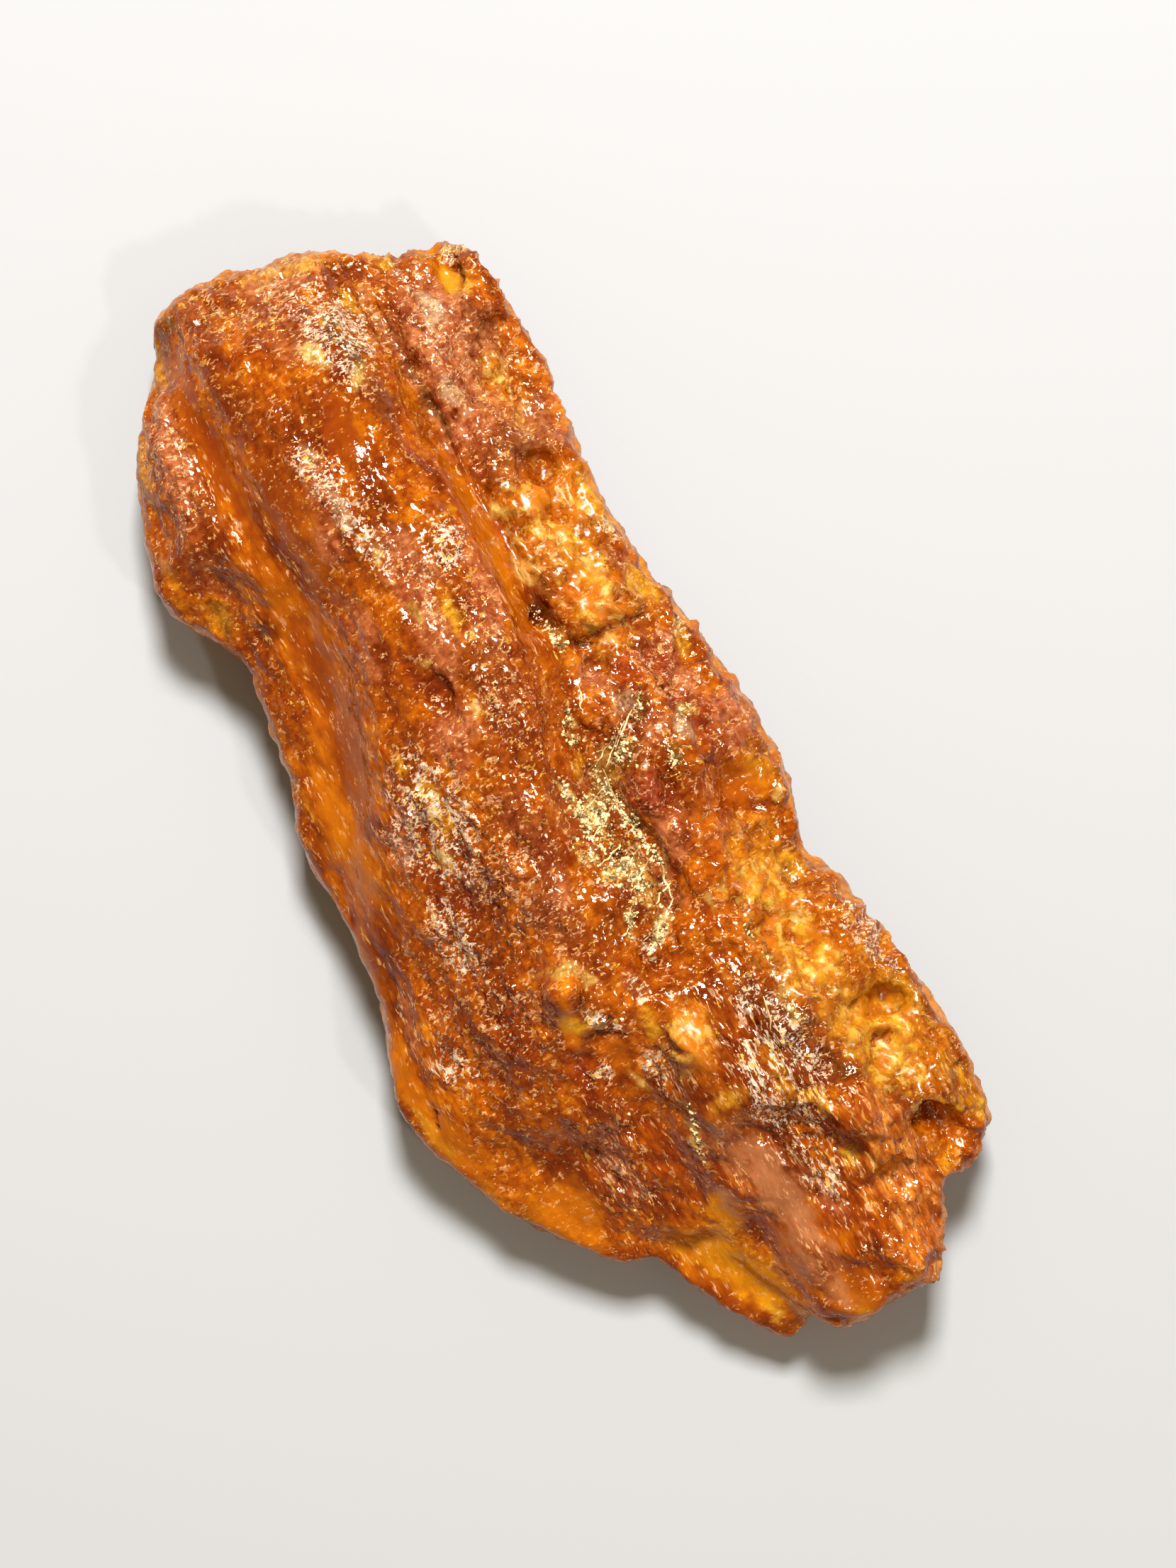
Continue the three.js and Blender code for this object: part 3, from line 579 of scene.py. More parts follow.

# %% Small patches, dirt, and painted glow on the edges
STROKES += [
    (PLUM, 0.85, [(1.6, 5, 1.5, 1.1), (-1, 3, 0.6, 0.4), (6.4, 1.7, 0.8, 0.5)]),
    (AMBER, 0.85, [(7, 5, 0.9, 1.5), (9, 3.8, 1.2, 0.6), (-1.8, 2.7, 0.8, 0.5)]),
    (CREAM, 0.6, [
        (1, 2.1, 1.5, 0.8), (4.6, 2, 0.9, 1.3), (6.4, 2.6, 1.1, 0.6, -10), (8.6, 2.1, 1.1, 0.5, -40),
        (8.6, 5.2, 0.9, 0.4), (-0.7, 4.4, 0.7, 0.9, 30),
    ]),
    (PINK, 0.8, [
        (-3.6, 10.6, 2.4, 1), (0.2, 11.4, 2.4, 0.9), (-1.4, 7.4, 1.2, 1), (4.4, 5.2, 1.6, 0.8),
    ]),
    (CORAL, 0.65, [(5.4, 7.4, 2.6, 1.3), (-4, 5.4, 1.5, 1.2), (-3.2, 8.6, 1.4, 0.8), (9, 6.2, 2, 0.6)]),
    (GOLD, 0.7, [(7.2, 9, 2.2, 2.2), (12, 11.8, 2.6, 0.8, 8), (3, 11.8, 1.6, 0.8)]),
    (CORAL, 0.85, [
        (-9, 8, 2.4, 2), (14.5, 0.4, 1.9, 1.5), (14.6, -2, 1, 0.8), (7, 5.2, 0.9, 0.6),
        (-6.8, 5.4, 0.8, 0.6), (8.2, -4.2, 1.1, 1.4), (12, 7, 1.4, 0.6),
    ]),
    # The ovals at the lower left edge, x -33.6 and -29.4, are a painted glow that lightens its shade.
    (YELLOW, 0.55, [
        (19.6, 9.4, 4.6, 2, 8), (14, 8.6, 3, 1.2), (23.6, 12.4, 2.6, 0.8, 12), (-34.6, 3, 1, 3.4, -12),
        (-33.4, 7.6, 0.9, 1.6, -16), (-36.2, -1, 0.6, 1.4), (9.4, 8.6, 1.6, 1.6), (-12, 8.8, 2.4, 1),
        (-33.6, -7, 3, 0.7, -32), (-29.4, -10.4, 3.6, 0.8, -24), (-30.6, 4.6, 1.4, 0.4, 20),
        (18.6, 0.6, 0.7, 1.4, 10),
    ]),
    (YELLOW, 0.75, [
        (-29.7, 10.3, 1.5, 0.9), (-28.6, 11.3, 0.8, 0.4), (26.2, 6.1, 1.2, 0.4), (24.6, 5, 1.6, 0.4, 4),
        (21.4, 4.7, 1.4, 0.5), (17.6, 3.6, 0.9, 0.5), (-29.6, 10.5, 1.1, 0.6), (-28.2, 11.1, 0.7, 0.4),
        (-23.3, 9.7, 1.6, 0.4, 8), (-32, 7.6, 0.5, 0.5), (-32.6, 8.5, 0.4, 0.5), (-1.6, 2.8, 0.9, 0.5),
        (-5, 11.5, 1.6, 0.5, 6), (12.6, -1.2, 1.2, 0.5, -10), (-3.8, -5.4, 2.2, 0.6, 10),
        (19.4, 3.8, 2.2, 0.9, 20), (11, -4.2, 1, 0.3, 30), (-7, -6.2, 1, 0.3), (-30.6, 2.6, 0.5, 0.4),
        (-31.4, 4.9, 0.8, 0.2, 20), (31.4, -3.3, 0.9, 0.3, 10), (14.2, 9, 1, 0.6),
        (18, 9.2, 1.6, 0.3, -60), (-12.6, 0.9, 1.2, 0.4, -30), (-14, 11.2, 2.6, 0.5, -4),
        (-8.8, 11, 1.6, 0.6), (9.4, 10.4, 1.2, 1), (10.6, -4.8, 1.3, 0.7, 10),
        (25.2, 11.5, 1, 0.25, 30), (21, 9.4, 1.2, 0.3, 10), (-17.8, 3.2, 0.25, 0.9),
    ]),
    (YELLOW, 0.8, [(18.6, 10.8, 2, 2.4), (21, 9.9, 2, 1.6), (26.6, 12.4, 1.8, 0.6, 28)]),
    (KHAKI, 0.9, [(18.4, 10.9, 0.8, 1.6), (20.7, 10, 0.8, 0.7), (22.4, 11.9, 1.3, 0.6, 8)]),
    # Dust and pale crust; the marks at the top left corner (x about -31, y 10 to 12), on the glassy
    # knob (x 7.7 to 10.9, y -3 to -4) and at x -17.6 on the crest are painted highlights.
    (CREAM, 0.85, [
        (1, 2.3, 1.2, 0.7), (4.4, 1.9, 0.5, 1.1), (5.5, 2.3, 0.9, 0.5), (0.9, 1.5, 0.9, 0.4),
        (8.7, 1.9, 0.9, 0.4, -50), (7.2, 0.9, 0.8, 0.3, -40), (-8.7, 5.1, 0.9, 0.4, 10),
        (-11.2, 8.9, 1.1, 0.4, 8), (15.8, 6.2, 1.2, 0.3, 12), (-1.5, 9.4, 0.4, 0.6),
        (-13, 5.4, 1.1, 0.4), (-16.2, 6.3, 0.9, 0.25, 14), (19.6, -1.9, 2.4, 0.25, -16),
        (17.8, -1.4, 0.4, 0.5), (3, 0.7, 0.6, 0.4, 60), (-12.9, 11.3, 0.8, 0.25, 8),
        (-5.9, 11.6, 0.5, 0.7, -20), (5.2, 12.1, 0.6, 0.4), (-31.5, 10.9, 1, 0.3, 50),
        (-30.8, 11.8, 0.7, 0.3, 20), (-31.6, 9.9, 0.3, 0.6), (-27, 2.9, 0.9, 0.4, -40),
        (-13.7, -0.8, 0.7, 0.4, -20), (-17.6, -1.1, 1, 0.4, -10), (-10.9, -2, 0.4, 0.25, 20),
        (-7.2, -0.8, 0.25, 0.5), (-29, 1.4, 1.4, 0.5, 20), (-1.3, -6.4, 0.7, 0.4, -20),
        (-4.2, 3.5, 0.5, 0.4), (-3.1, 3, 0.5, 0.4), (-31, 11.5, 0.7, 0.3, 30), (24.7, 9.6, 0.4, 0.6),
        (7.7, -4, 0.4, 1.2, -14), (8.8, -3.2, 0.9, 0.35, 20), (10.9, -3.5, 1.2, 0.3, 10),
        (15.8, -3, 1.4, 0.2, 12), (0.6, 3.6, 1.4, 0.25, -8), (5.6, 4, 1.8, 0.2, 4),
        (-0.9, 1.3, 0.8, 0.25),
    ]),
    (AMBER, 0.7, [(13.4, 1.4, 0.8, 0.5, 20), (15.3, -0.2, 1, 0.4, -30), (4.6, 11.4, 0.4, 0.8)]),
    # This amber and the gold below paint the glow of the thin lower edges.
    (AMBER, 0.6, [
        (13, -13.2, 9, 2.2, 14), (21.6, -9.6, 4, 1.6, 44), (-6, -10.6, 7, 1, -12), (25, -6.4, 2, 1, 30),
    ]),
    (GOLD, 0.8, [
        (12.4, -15.2, 4.4, 0.5, 8), (-9.4, -11.8, 4.6, 0.4, -12), (18.6, -13.3, 3, 0.5, 28),
        (-22, -12.2, 3, 0.5),
    ]),
    (OLIVE, 0.65, [
        (-1.2, 5.4, 0.8, 1.1, 60), (0.6, 7.5, 0.9, 0.6), (-10.2, 5, 0.9, 0.8), (-3, 7.2, 1.2, 0.5, -40),
        (12.4, 6.6, 2, 0.3, 6), (20.2, 6.9, 1.6, 0.4), (-23.6, 5.9, 3, 0.35), (-19.2, -10.8, 1.2, 0.6),
        (-35.5, -5.2, 0.7, 0.7), (4, 2.8, 0.3, 0.7), (2.4, 4, 3.6, 0.3, 4), (2.4, 2.9, 0.6, 0.4),
        (8, 3.2, 0.6, 0.4), (3.6, 2.7, 0.5, 0.8), (0.2, 3.5, 1.5, 0.35, -10), (5.2, 3.1, 0.6, 0.4),
        (6.4, 3.4, 0.6, 0.35), (-29.2, 3.3, 2.4, 1.3), (-1.4, 4.2, 1, 0.5, -20),
    ]),
]
print("strokes:", len(STROKES))

# %% Painting stroke over stroke
STROKE_SOFT = 0.9


def blend(colour, tint, amount):
    return colour + (tint - colour) * np.clip(amount, 0, 1)[:, None]


def painted(at, x, y, shown):
    """The colour of every vertex, stroke over stroke."""
    thick = smooth(waves(at * [0.4, 1, 1], 1.7, 4.1) + 0.5 * waves(at, 0.7, 3.3), -0.5, 0.5)
    colour = RED_BROWN + (BURNT_ORANGE - RED_BROWN) * thick[:, None]
    for number, (tint, strength, places) in enumerate(STROKES):
        torn = 0.30 * waves(at, 0.55, number + 0.5) + 0.22 * waves(at, 1.3, number + 2.5)
        shape = smooth(ovals(x, y, places, STROKE_SOFT) + torn, 0.25, 0.75)
        colour = blend(colour, tint, strength * shape * shown)
    return colour


skin = painted(at, plan_x, plan_y, facing_up)
print("average colour:", np.round(skin.mean(axis=0), 3))

# %% [markdown]
# ## Painting light and shade by the relief
# Bowls of the honeycomb are painted deep amber as shade and their walls pale gold as the
# glow of light through thin walls, in blotches that also wander at random. Painted shade
# darkens whatever lies under the skin around it and the grooves and holes; steep sides
# get a painted amber glow and thin edges a painted golden glow. All of this is read from
# the carved shape, so colour and relief agree.

# %% Bowls, hollows and thin edges
def hollows(mesh, at, out, rounds):
    """How far each vertex lies under the average of the skin around it, in millimetres."""
    edges = np.empty(len(mesh.edges) * 2, dtype=int)
    mesh.edges.foreach_get("vertices", edges)
    a, b = edges.reshape(-1, 2).T
    count = np.bincount(a, minlength=len(at)) + np.bincount(b, minlength=len(at))
    around = at.copy()
    for _ in range(rounds):
        total = np.stack([
            np.bincount(a, around[b, axis], len(at)) + np.bincount(b, around[a, axis], len(at))
            for axis in range(3)
        ], axis=1)
        around = total / count[:, None]
    return ((around - at) * out).sum(axis=1)


SMOOTHING_ROUNDS = 12
fine_at, fine_out = read_points(resin.data)
sunk = hollows(resin.data, fine_at, fine_out, SMOOTHING_ROUNDS)
# Random blotches, plus painted glow on the honeycomb's walls and painted shade in its bowls.
blotch_and_painted_light = waves(at, 1.0, 12.1) + 0.7 * waves(at, 0.5, 13.3) + 0.5 * (big_rim - 1.5 * big_floor)
# Steep thin edges, which get a painted golden glow in patches.
rim = smooth(upness, 0.55, 0.10) * smooth(upness, -0.9, -0.5)
rim_glow_patches = smooth(waves(at, 1.5, 1.9) + waves(at, 0.6, 2.9), -0.8, 0.5)
for tint, amount in (
    # honeycomb: orange bowls and yellow and cream walls, partly random and partly painted shade and
    # glow
    (BURNT_ORANGE, 0.7 * comb * smooth(-blotch_and_painted_light, -0.05, 0.55)),
    (YELLOW, 0.28 * comb * smooth(blotch_and_painted_light, 0.10, 0.60)),
    (CREAM, 0.15 * comb * smooth(blotch_and_painted_light, 0.55, 1.00)),
    # painted shade: a darker red in the honeycomb's hollows, dark red-brown in other hollows, grooves
    # and holes
    (BURNT_RED, 0.8 * comb * smooth(sunk, 0.06, 0.35)),
    (PAINTED_SHADE_RED, 0.25 * (1 - comb) * smooth(sunk, 0.12, 0.5)),
    (PAINTED_SHADE_RED, 0.9 * cut_painted_shade),
    # painted glow: amber on steep sides, as light seen through them
    (AMBER, 0.45 * smooth(upness, 0.80, 0.40)),
    # painted glow: gold on thin edges
    (EDGE_GLOW_GOLD, 0.8 * rim * rim_glow_patches),
):
    skin = blend(skin, tint, amount)
print("hollow depths, mm:", np.round(np.percentile(sunk, [1, 25, 50, 75, 99]), 3))

# %% [markdown]
# ## Masks for the material
# The material reads what was painted from the mesh, where each mask is an attribute: a
# number or a colour at every vertex, found by its name. Besides the painted colour there
# are six numbers: how lively the skin is, how many pale and how many golden flecks it
# has, and where it is honeycomb, drawn out lengthwise or streaked. The flecks are
# painted glints.

# %% Golden and lengthwise places
GOLDEN_PLACES = [
    (-34, 0, 3, 5), (-4.5, -5.6, 4, 2), (19, 3.6, 4, 1.6), (-12.4, -3.6, 2.8, 1.6),
    (-9, 1.4, 4.4, 1.3, -18), (-12, 1, 2, 0.8), (12, 4.6, 1.6, 1.4), (-23, 9.4, 2.2, 1),
    (14.6, 11, 3.2, 1.4), (31.2, -3.2, 1.6, 0.7, 20), (5.6, -6.2, 1, 0.5), (26, 5.4, 4, 1),
    (-32.6, 7.6, 0.8, 1.6), (20.6, 10.8, 3.6, 2.2), (23, -4.4, 1.2, 0.6), (20.6, 4.4, 3, 1.6),
]
LENGTHWISE = [
    (22, 2, 12, 5, 4), (-14, 4.8, 9, 1.4, -4), (28, 7, 8, 2.6), (-17, -7.2, 16, 2.4, -4),
    (22, -6, 9, 4, 6), (-4, -11, 8, 3, -10), (25, 12.6, 4, 1.2, 20), (8, -13.6, 8, 2, -8),
]
print("golden places:", len(GOLDEN_PLACES), "lengthwise:", len(LENGTHWISE))


# %% Attributes
def mark(mesh, name, values):
    layer = mesh.attributes.new(name, "FLOAT", "POINT")
    layer.data.foreach_set("value", np.clip(values, 0, 1).astype(np.float32))


def mark_colour(mesh, name, colours):
    layer = mesh.attributes.new(name, "FLOAT_COLOR", "POINT")
    full = np.concatenate([np.clip(colours, 0, 1), np.ones((len(colours), 1))], axis=1)
    layer.data.foreach_set("color", full.astype(np.float32).ravel())


crust, glitter = zone["crust"], zone["glitter"]
# How busy the skin is, and how many pale and golden flecks, which are painted glints, the shader lays
# on it; steep walls get golden ones too.
lively = np.clip(0.3 + 0.5 * crust + 0.9 * glitter + 0.1 * flank - 0.3 * comb, 0, 1)
pale = np.clip(0.08 + 0.38 * crust + 1.1 * glitter - 0.2 * comb, 0, 1)
golden = ovals(plan_x, plan_y, GOLDEN_PLACES) * facing_up * smooth(waves(at, 1.1, 2.7), -0.4, 0.5)
masks = {
    "lively": rough * lively * (1 - 0.8 * rim),
    "pale": rough * pale * (1 - walls),
    "golden": rough * (0.15 + 0.85 * np.maximum(golden, walls)),
    "comb": comb,
    "lengthwise": ovals(plan_x, plan_y, LENGTHWISE),
    "streaked": zone["streaked"],
}
mark_colour(resin.data, "skin", skin)
for name, values in masks.items():
    mark(resin.data, name, values)
print("average of each mask:", {n: round(float(v.mean()), 2) for n, v in masks.items()})

# %% [markdown]
# ## Shader groups
# Some effects are used by more than one material or in more than one size. Each is a
# small node group with named inputs and outputs. A material places it with values of
# its own, as a maker would mix the same powder into two pots.

# %% Node helpers
def link(tree, source, target):
    tree.links.new(source, target)


def fill_sockets(tree, sockets, values):
    """Gives each socket a number, a vector, a colour or a link, and passes over None."""
    for socket, value in zip(sockets, values):
        if isinstance(value, np.ndarray):
            socket.default_value = (*value, 1)
        elif isinstance(value, (int, float, tuple)):
            socket.default_value = value
        elif value is not None:
            link(tree, value, socket)


def new_node(tree, kind, **values):
    """A new node, with some of its inputs filled by name."""
    node = tree.nodes.new(kind)
    fill_sockets(tree, [node.inputs[label] for label in values], values.values())
    return node


def math_node(tree, how, a, b=None, clamp=False):
    node = tree.nodes.new("ShaderNodeMath")
    node.operation = how
    node.use_clamp = clamp
    fill_sockets(tree, node.inputs, (a, b))
    return node.outputs[0]


def times(tree, a, b, clamp=False):
    return math_node(tree, "MULTIPLY", a, b, clamp)


def plus(tree, a, b):
    return math_node(tree, "ADD", a, b)


def vector_node(tree, how, a, b=None, scale=None):
    node = tree.nodes.new("ShaderNodeVectorMath")
    node.operation = how
    fill_sockets(tree, (node.inputs[0], node.inputs[1], node.inputs[3]), (a, b, scale))
    return node.outputs[0]


def ramp(tree, value, low, high, out_low=0.0, out_high=1.0):
    """Maps a value from one range to another, smoothly and with its ends held."""
    node = tree.nodes.new("ShaderNodeMapRange")
    node.interpolation_type = "SMOOTHSTEP"
    fill_sockets(tree, node.inputs, (value, low, high, out_low, out_high))
    return node.outputs["Result"]


def channels(tree, colour):
    """The three channels of a colour, as three numbers."""
    return new_node(tree, "ShaderNodeSeparateColor", Color=colour).outputs


# %% What the groups are made of
PLACING = {"Scale": 3000.0, "Stretch": (1, 1, 1)}


def new_group(name, inputs, outputs):
    """An empty node group: a value for each input, and for each output its kind."""
    group = bpy.data.node_groups.new(name, "ShaderNodeTree")
    for label, value in inputs.items():
        kind = "NodeSocketVector" if isinstance(value, tuple) else "NodeSocketFloat"
        socket = group.interface.new_socket(label, in_out="INPUT", socket_type=kind)
        socket.default_value = value
    for label, kind in outputs.items():
        group.interface.new_socket(label, in_out="OUTPUT", socket_type=kind)
    return group, group.nodes.new("NodeGroupInput"), group.nodes.new("NodeGroupOutput")


def texture(group, kind, given, **values):
    """A texture laid on the object by the group's own scale and stretch."""
    place = group.nodes.new("ShaderNodeTexCoord").outputs["Object"]
    stretched = vector_node(group, "MULTIPLY", place, given.outputs["Stretch"])
    return new_node(group, kind, Vector=stretched, Scale=given.outputs["Scale"], **values)


# %% Shard, mottle, curl and grain groups
def shards_group():
    """Flat shards, each tilted its own way, so that only some of them flash."""
    group, given, made = new_group(
        "tilted_shards", {**PLACING, "Tilt": 0.5},
        {"Normal": "NodeSocketVector", "Flash": "NodeSocketFloat"},
    )
    shard = texture(group, "ShaderNodeTexVoronoi", given).outputs["Color"]
    centred = vector_node(group, "SUBTRACT", shard, (0.5, 0.5, 0.5))
    leaned = vector_node(group, "SCALE", centred, scale=given.outputs["Tilt"])
    skin_normal = group.nodes.new("ShaderNodeNewGeometry").outputs["Normal"]
    summed = vector_node(group, "ADD", skin_normal, leaned)
    link(group, vector_node(group, "NORMALIZE", summed), made.inputs["Normal"])
    link(group, channels(group, shard)[0], made.inputs["Flash"])
    return group


def mottle_group():
    """Crumbly mottling in three independent shares, each from 0 to 1."""
    shares = ("Shade", "Warmth", "Sparkle")
    group, given, made = new_group(
        "resin_mottle", {**PLACING, "Crumble": 0.66},
        {label: "NodeSocketFloat" for label in shares},
    )
    noise = texture(
        group, "ShaderNodeTexNoise", given, Detail=3.0, Roughness=given.outputs["Crumble"],
    )
    for share, label in zip(channels(group, noise.outputs["Color"]), shares):
        link(group, ramp(group, share, 0.34, 0.66), made.inputs[label])
    return group


def curls_group():
    """Thin curling lines, broken into dashes and small rings."""
    group, given, made = new_group(
        "curled_lines", {**PLACING, "Share": 0.5},
        {"Line": "NodeSocketFloat", "Warmth": "NodeSocketFloat"},
    )
    noise = texture(group, "ShaderNodeTexNoise", given, Detail=2.0, Roughness=0.6)
    field, presence, warmth = channels(group, noise.outputs["Color"])
    off_line = math_node(group, "ABSOLUTE", math_node(group, "SUBTRACT", field, 0.5))
    line = ramp(group, off_line, 0.01, 0.065, 1.0, 0.0)
    there = plus(group, ramp(group, presence, 0.32, 0.68), given.outputs["Share"])
    link(group, times(group, line, ramp(group, there, 0.85, 1.1)), made.inputs["Line"])
    link(group, ramp(group, warmth, 0.36, 0.64), made.inputs["Warmth"])
    return group


def grain_group():
    """A height for bumps: soft lumps with finer grain on them."""
    group, given, made = new_group("fine_grain", PLACING, {"Height": "NodeSocketFloat"})
    noise = texture(group, "ShaderNodeTexNoise", given, Detail=2.0, Roughness=0.6)
    link(group, noise.outputs["Fac"], made.inputs["Height"])
    return group


shards, mottle, curls, fine_grain = shards_group(), mottle_group(), curls_group(), grain_group()
print("groups:", [group.name for group in bpy.data.node_groups])


# %% Using the groups
def place_group(tree, group, **values):
    """A group in a material, with some of its inputs filled by name."""
    node = tree.nodes.new("ShaderNodeGroup")
    node.node_tree = group
    fill_sockets(tree, [node.inputs[label] for label in values], values.values())
    return node.outputs


def attribute(tree, name, output="Fac"):
    node = tree.nodes.new("ShaderNodeAttribute")
    node.attribute_name = name
    return node.outputs[output]


def mix_vector(tree, amount, a, b):
    node = tree.nodes.new("ShaderNodeMix")
    node.data_type = "VECTOR"
    fill_sockets(tree, (node.inputs[0], node.inputs[4], node.inputs[5]), (amount, a, b))
    return node.outputs[1]


def mix_colour(tree, amount, a, b, how="MIX"):
    node = tree.nodes.new("ShaderNodeMix")
    node.data_type = "RGBA"
    node.blend_type = how
    fill_sockets(tree, (node.inputs[0], node.inputs[6], node.inputs[7]), (amount, a, b))
    return node.outputs[2]


def bumped(tree, height, strength, depth, normal=None):
    """A normal that follows tiny bumps, given how deep they are in metres."""
    bump = new_node(
        tree, "ShaderNodeBump", Height=height, Strength=strength, Distance=depth, Normal=normal,
    )
    return bump.outputs["Normal"]


def new_material(name):
    """A new material, its node tree and its Principled shader."""
    material = bpy.data.materials.new(name)
    material.use_nodes = True
    return material, material.node_tree, material.node_tree.nodes["Principled BSDF"]


print("helpers ready")

# %% [markdown]
# ## The resin
# Copal bends light about as much as glass does: its index of refraction is 1.54. It
# swallows blue at once, green within a few millimetres and red hardly at all. So a thin
# rim looks golden and a thick lobe looks red-brown. Its weathered skin scatters part of
# the light, and that part takes the painted colours, broken into a fine mosaic.

# %% Tints and painted glints
# Colours of painted glints, laid on as flecks.
PALE_GLINT = tone(255, 236, 220)
WARM_GLINT = tone(255, 206, 172)
GOLD_GLINT = tone(255, 204, 84)
SHADOW_TINT = tone(208, 178, 146)
BRIGHT_TINT = tone(255, 255, 250)


def tinted(tree, colour, amount, shade):
    """Multiplies a colour by a tint that runs from shadow to bright with the shade."""
    tint = mix_colour(tree, shade, SHADOW_TINT, BRIGHT_TINT)
    return mix_colour(tree, amount, colour, tint, "MULTIPLY")


def over(tree, colour, mask, share, fleck):
    """Lays a fleck colour over a colour, where the mask is, by the share."""
    return mix_colour(tree, times(tree, mask, share, clamp=True), colour, fleck)


print("tints ready")


# %% Mottling and the honeycomb's lumps
COMB_LAYERS = [
    # shade at which it starts, shade at which it is full, share, colour
    (0.45, 0.25, 0.75, BURNT_ORANGE), (0.60, 0.76, 0.35, YELLOW), (0.84, 0.94, 0.4, CREAM),
]


def mottled(tree, stretch, broad):
    """The painted skin, its shade broken up in broad, fine and streaky patches."""
    colour = attribute(tree, "skin", "Color")
    strength = ramp(tree, attribute(tree, "lively"), 0.0, 0.3, 0.35, 1.0)
    fine = place_group(tree, mottle, Scale=3000.0, Stretch=stretch)
    streaks = place_group(tree, mottle, Scale=3200.0, Stretch=(0.12, 1.0, 1.0))
    colour = tinted(tree, colour, strength, broad["Shade"])
    colour = tinted(tree, colour, strength, fine["Shade"])
    streaked = plus(tree, times(tree, attribute(tree, "streaked"), 0.6), 0.15)
    colour = tinted(tree, colour, streaked, streaks["Shade"])

    lumps = place_group(tree, mottle, Scale=1250.0, Crumble=0.60)
    comb_skin = attribute(tree, "comb")
    for low, high, share, layer in COMB_LAYERS:
        shown = ramp(tree, lumps["Shade"], low, high)
        colour = over(tree, colour, shown, times(tree, comb_skin, share), layer)
    return colour


print("layers in the honeycomb:", len(COMB_LAYERS))

# %% Raised lines and glitter, with painted glints
ALL_ROUND = (0.9, 0.55, 1.0)
DRAWN_OUT = (0.28, 1.0, 1.0)
LINE_SIZES = [
    # scale, share
    (2000.0, 0.45), (3400.0, 0.8),
]


def resin_colour(tree):
    """The mottled skin with painted glints along raised lines and in glitter, and where the lines are.
    """
    lively_skin, pale_skin = attribute(tree, "lively"), attribute(tree, "pale")
    lengthwise = math_node(tree, "GREATER_THAN", attribute(tree, "lengthwise"), 0.5)
    stretch = mix_vector(tree, lengthwise, ALL_ROUND, DRAWN_OUT)
    broad = place_group(tree, mottle, Scale=700.0, Stretch=(0.7, 1.0, 1.0))
    colour = mottled(tree, stretch, broad)

    cluster = ramp(tree, broad["Warmth"], 0.15, 0.8, 0.4, 1.0)
    busy = plus(tree, times(tree, lively_skin, 0.5), times(tree, pale_skin, 0.5))
    busy = plus(tree, times(tree, busy, cluster), 0.06)
    raised = []
    # Painted highlights along the raised lines: warm, golden or pale.
    for scale, reach in LINE_SIZES:
        lines = place_group(
            tree, curls, Scale=scale, Stretch=stretch, Share=times(tree, busy, 0.5),
        )
        gold_share = ramp(tree, lines["Warmth"], 0.65, 0.9)
        warm = mix_colour(tree, gold_share, WARM_GLINT, GOLD_GLINT)
        warm = mix_colour(tree, attribute(tree, "golden"), warm, GOLD_GLINT)
        fleck = mix_colour(tree, ramp(tree, pale_skin, 0.3, 0.9), warm, PALE_GLINT)
        colour = over(tree, colour, lines["Line"], reach, fleck)
        raised.append(lines["Line"])

    # Painted white and golden glints, thickest in the glitter.
    glitter = place_group(tree, mottle, Scale=3600.0, Stretch=stretch)
    glitter_share = times(tree, ramp(tree, pale_skin, 0.2, 1.0, 0.0, 0.36), cluster)
    white = math_node(tree, "SUBTRACT", plus(tree, glitter["Sparkle"], glitter_share), 1.0)
    tinged = mix_colour(tree, ramp(tree, glitter["Warmth"], 0.6, 0.8), PALE_GLINT, GOLD_GLINT)
    return over(tree, colour, ramp(tree, white, 0.0, 0.12), 0.85, tinged), plus(tree, *raised)


print("sizes of line:", len(LINE_SIZES))


# %% Resin material
def resin_material():
    material, tree, surface = new_material("copal_resin")
    surface.inputs["IOR"].default_value = 1.54
    surface.inputs["Transmission Weight"].default_value = 0.5
    surface.inputs["Specular IOR Level"].default_value = 0.20
    colour, raised = resin_colour(tree)
    link(tree, colour, surface.inputs["Base Color"])

    comb_skin = attribute(tree, "comb")
    tilting = math_node(
        tree, "SUBTRACT", attribute(tree, "lively"), times(tree, comb_skin, 0.5),
    )
    tilt = ramp(tree, tilting, 0.0, 1.0, 0.10, 0.85)
    leaning = place_group(tree, shards, Scale=5400.0, Stretch=(0.6, 1.0, 1.0), Tilt=tilt)
    dull = ramp(tree, leaning["Flash"], 0.3, 0.9, 0.06, 0.15)
    link(tree, plus(tree, dull, times(tree, comb_skin, 0.3)), surface.inputs["Roughness"])

    grain = place_group(tree, fine_grain, Scale=2600.0, Stretch=(0.6, 1.0, 1.0))
    height = plus(tree, grain["Height"], times(tree, raised, 0.5))
    normal = bumped(tree, height, 0.4, 0.03 * MM, leaning["Normal"])
    link(tree, normal, surface.inputs["Normal"])

    inside = tree.nodes.new("ShaderNodeVolumeAbsorption")
    inside.inputs["Color"].default_value = (0.995, 0.966, 0.0, 1)
    inside.inputs["Density"].default_value = 5000.0
    link(tree, inside.outputs["Volume"], tree.nodes["Material Output"].inputs["Volume"])
    return material


resin.data.materials.append(resin_material())
print("resin nodes:", len(resin.data.materials[0].node_tree.nodes))

# %% [markdown]
# ## Dust in the crevice
# Cream and olive soil has crumbled into the crevice and stayed there. Painting it would
# do from far off, but it is loose stuff that stands on the resin, so it is real grains:
# one small jagged stone is made, then copied many times, each turned, squashed and sunk
# a little into the skin where a ray from above meets it.

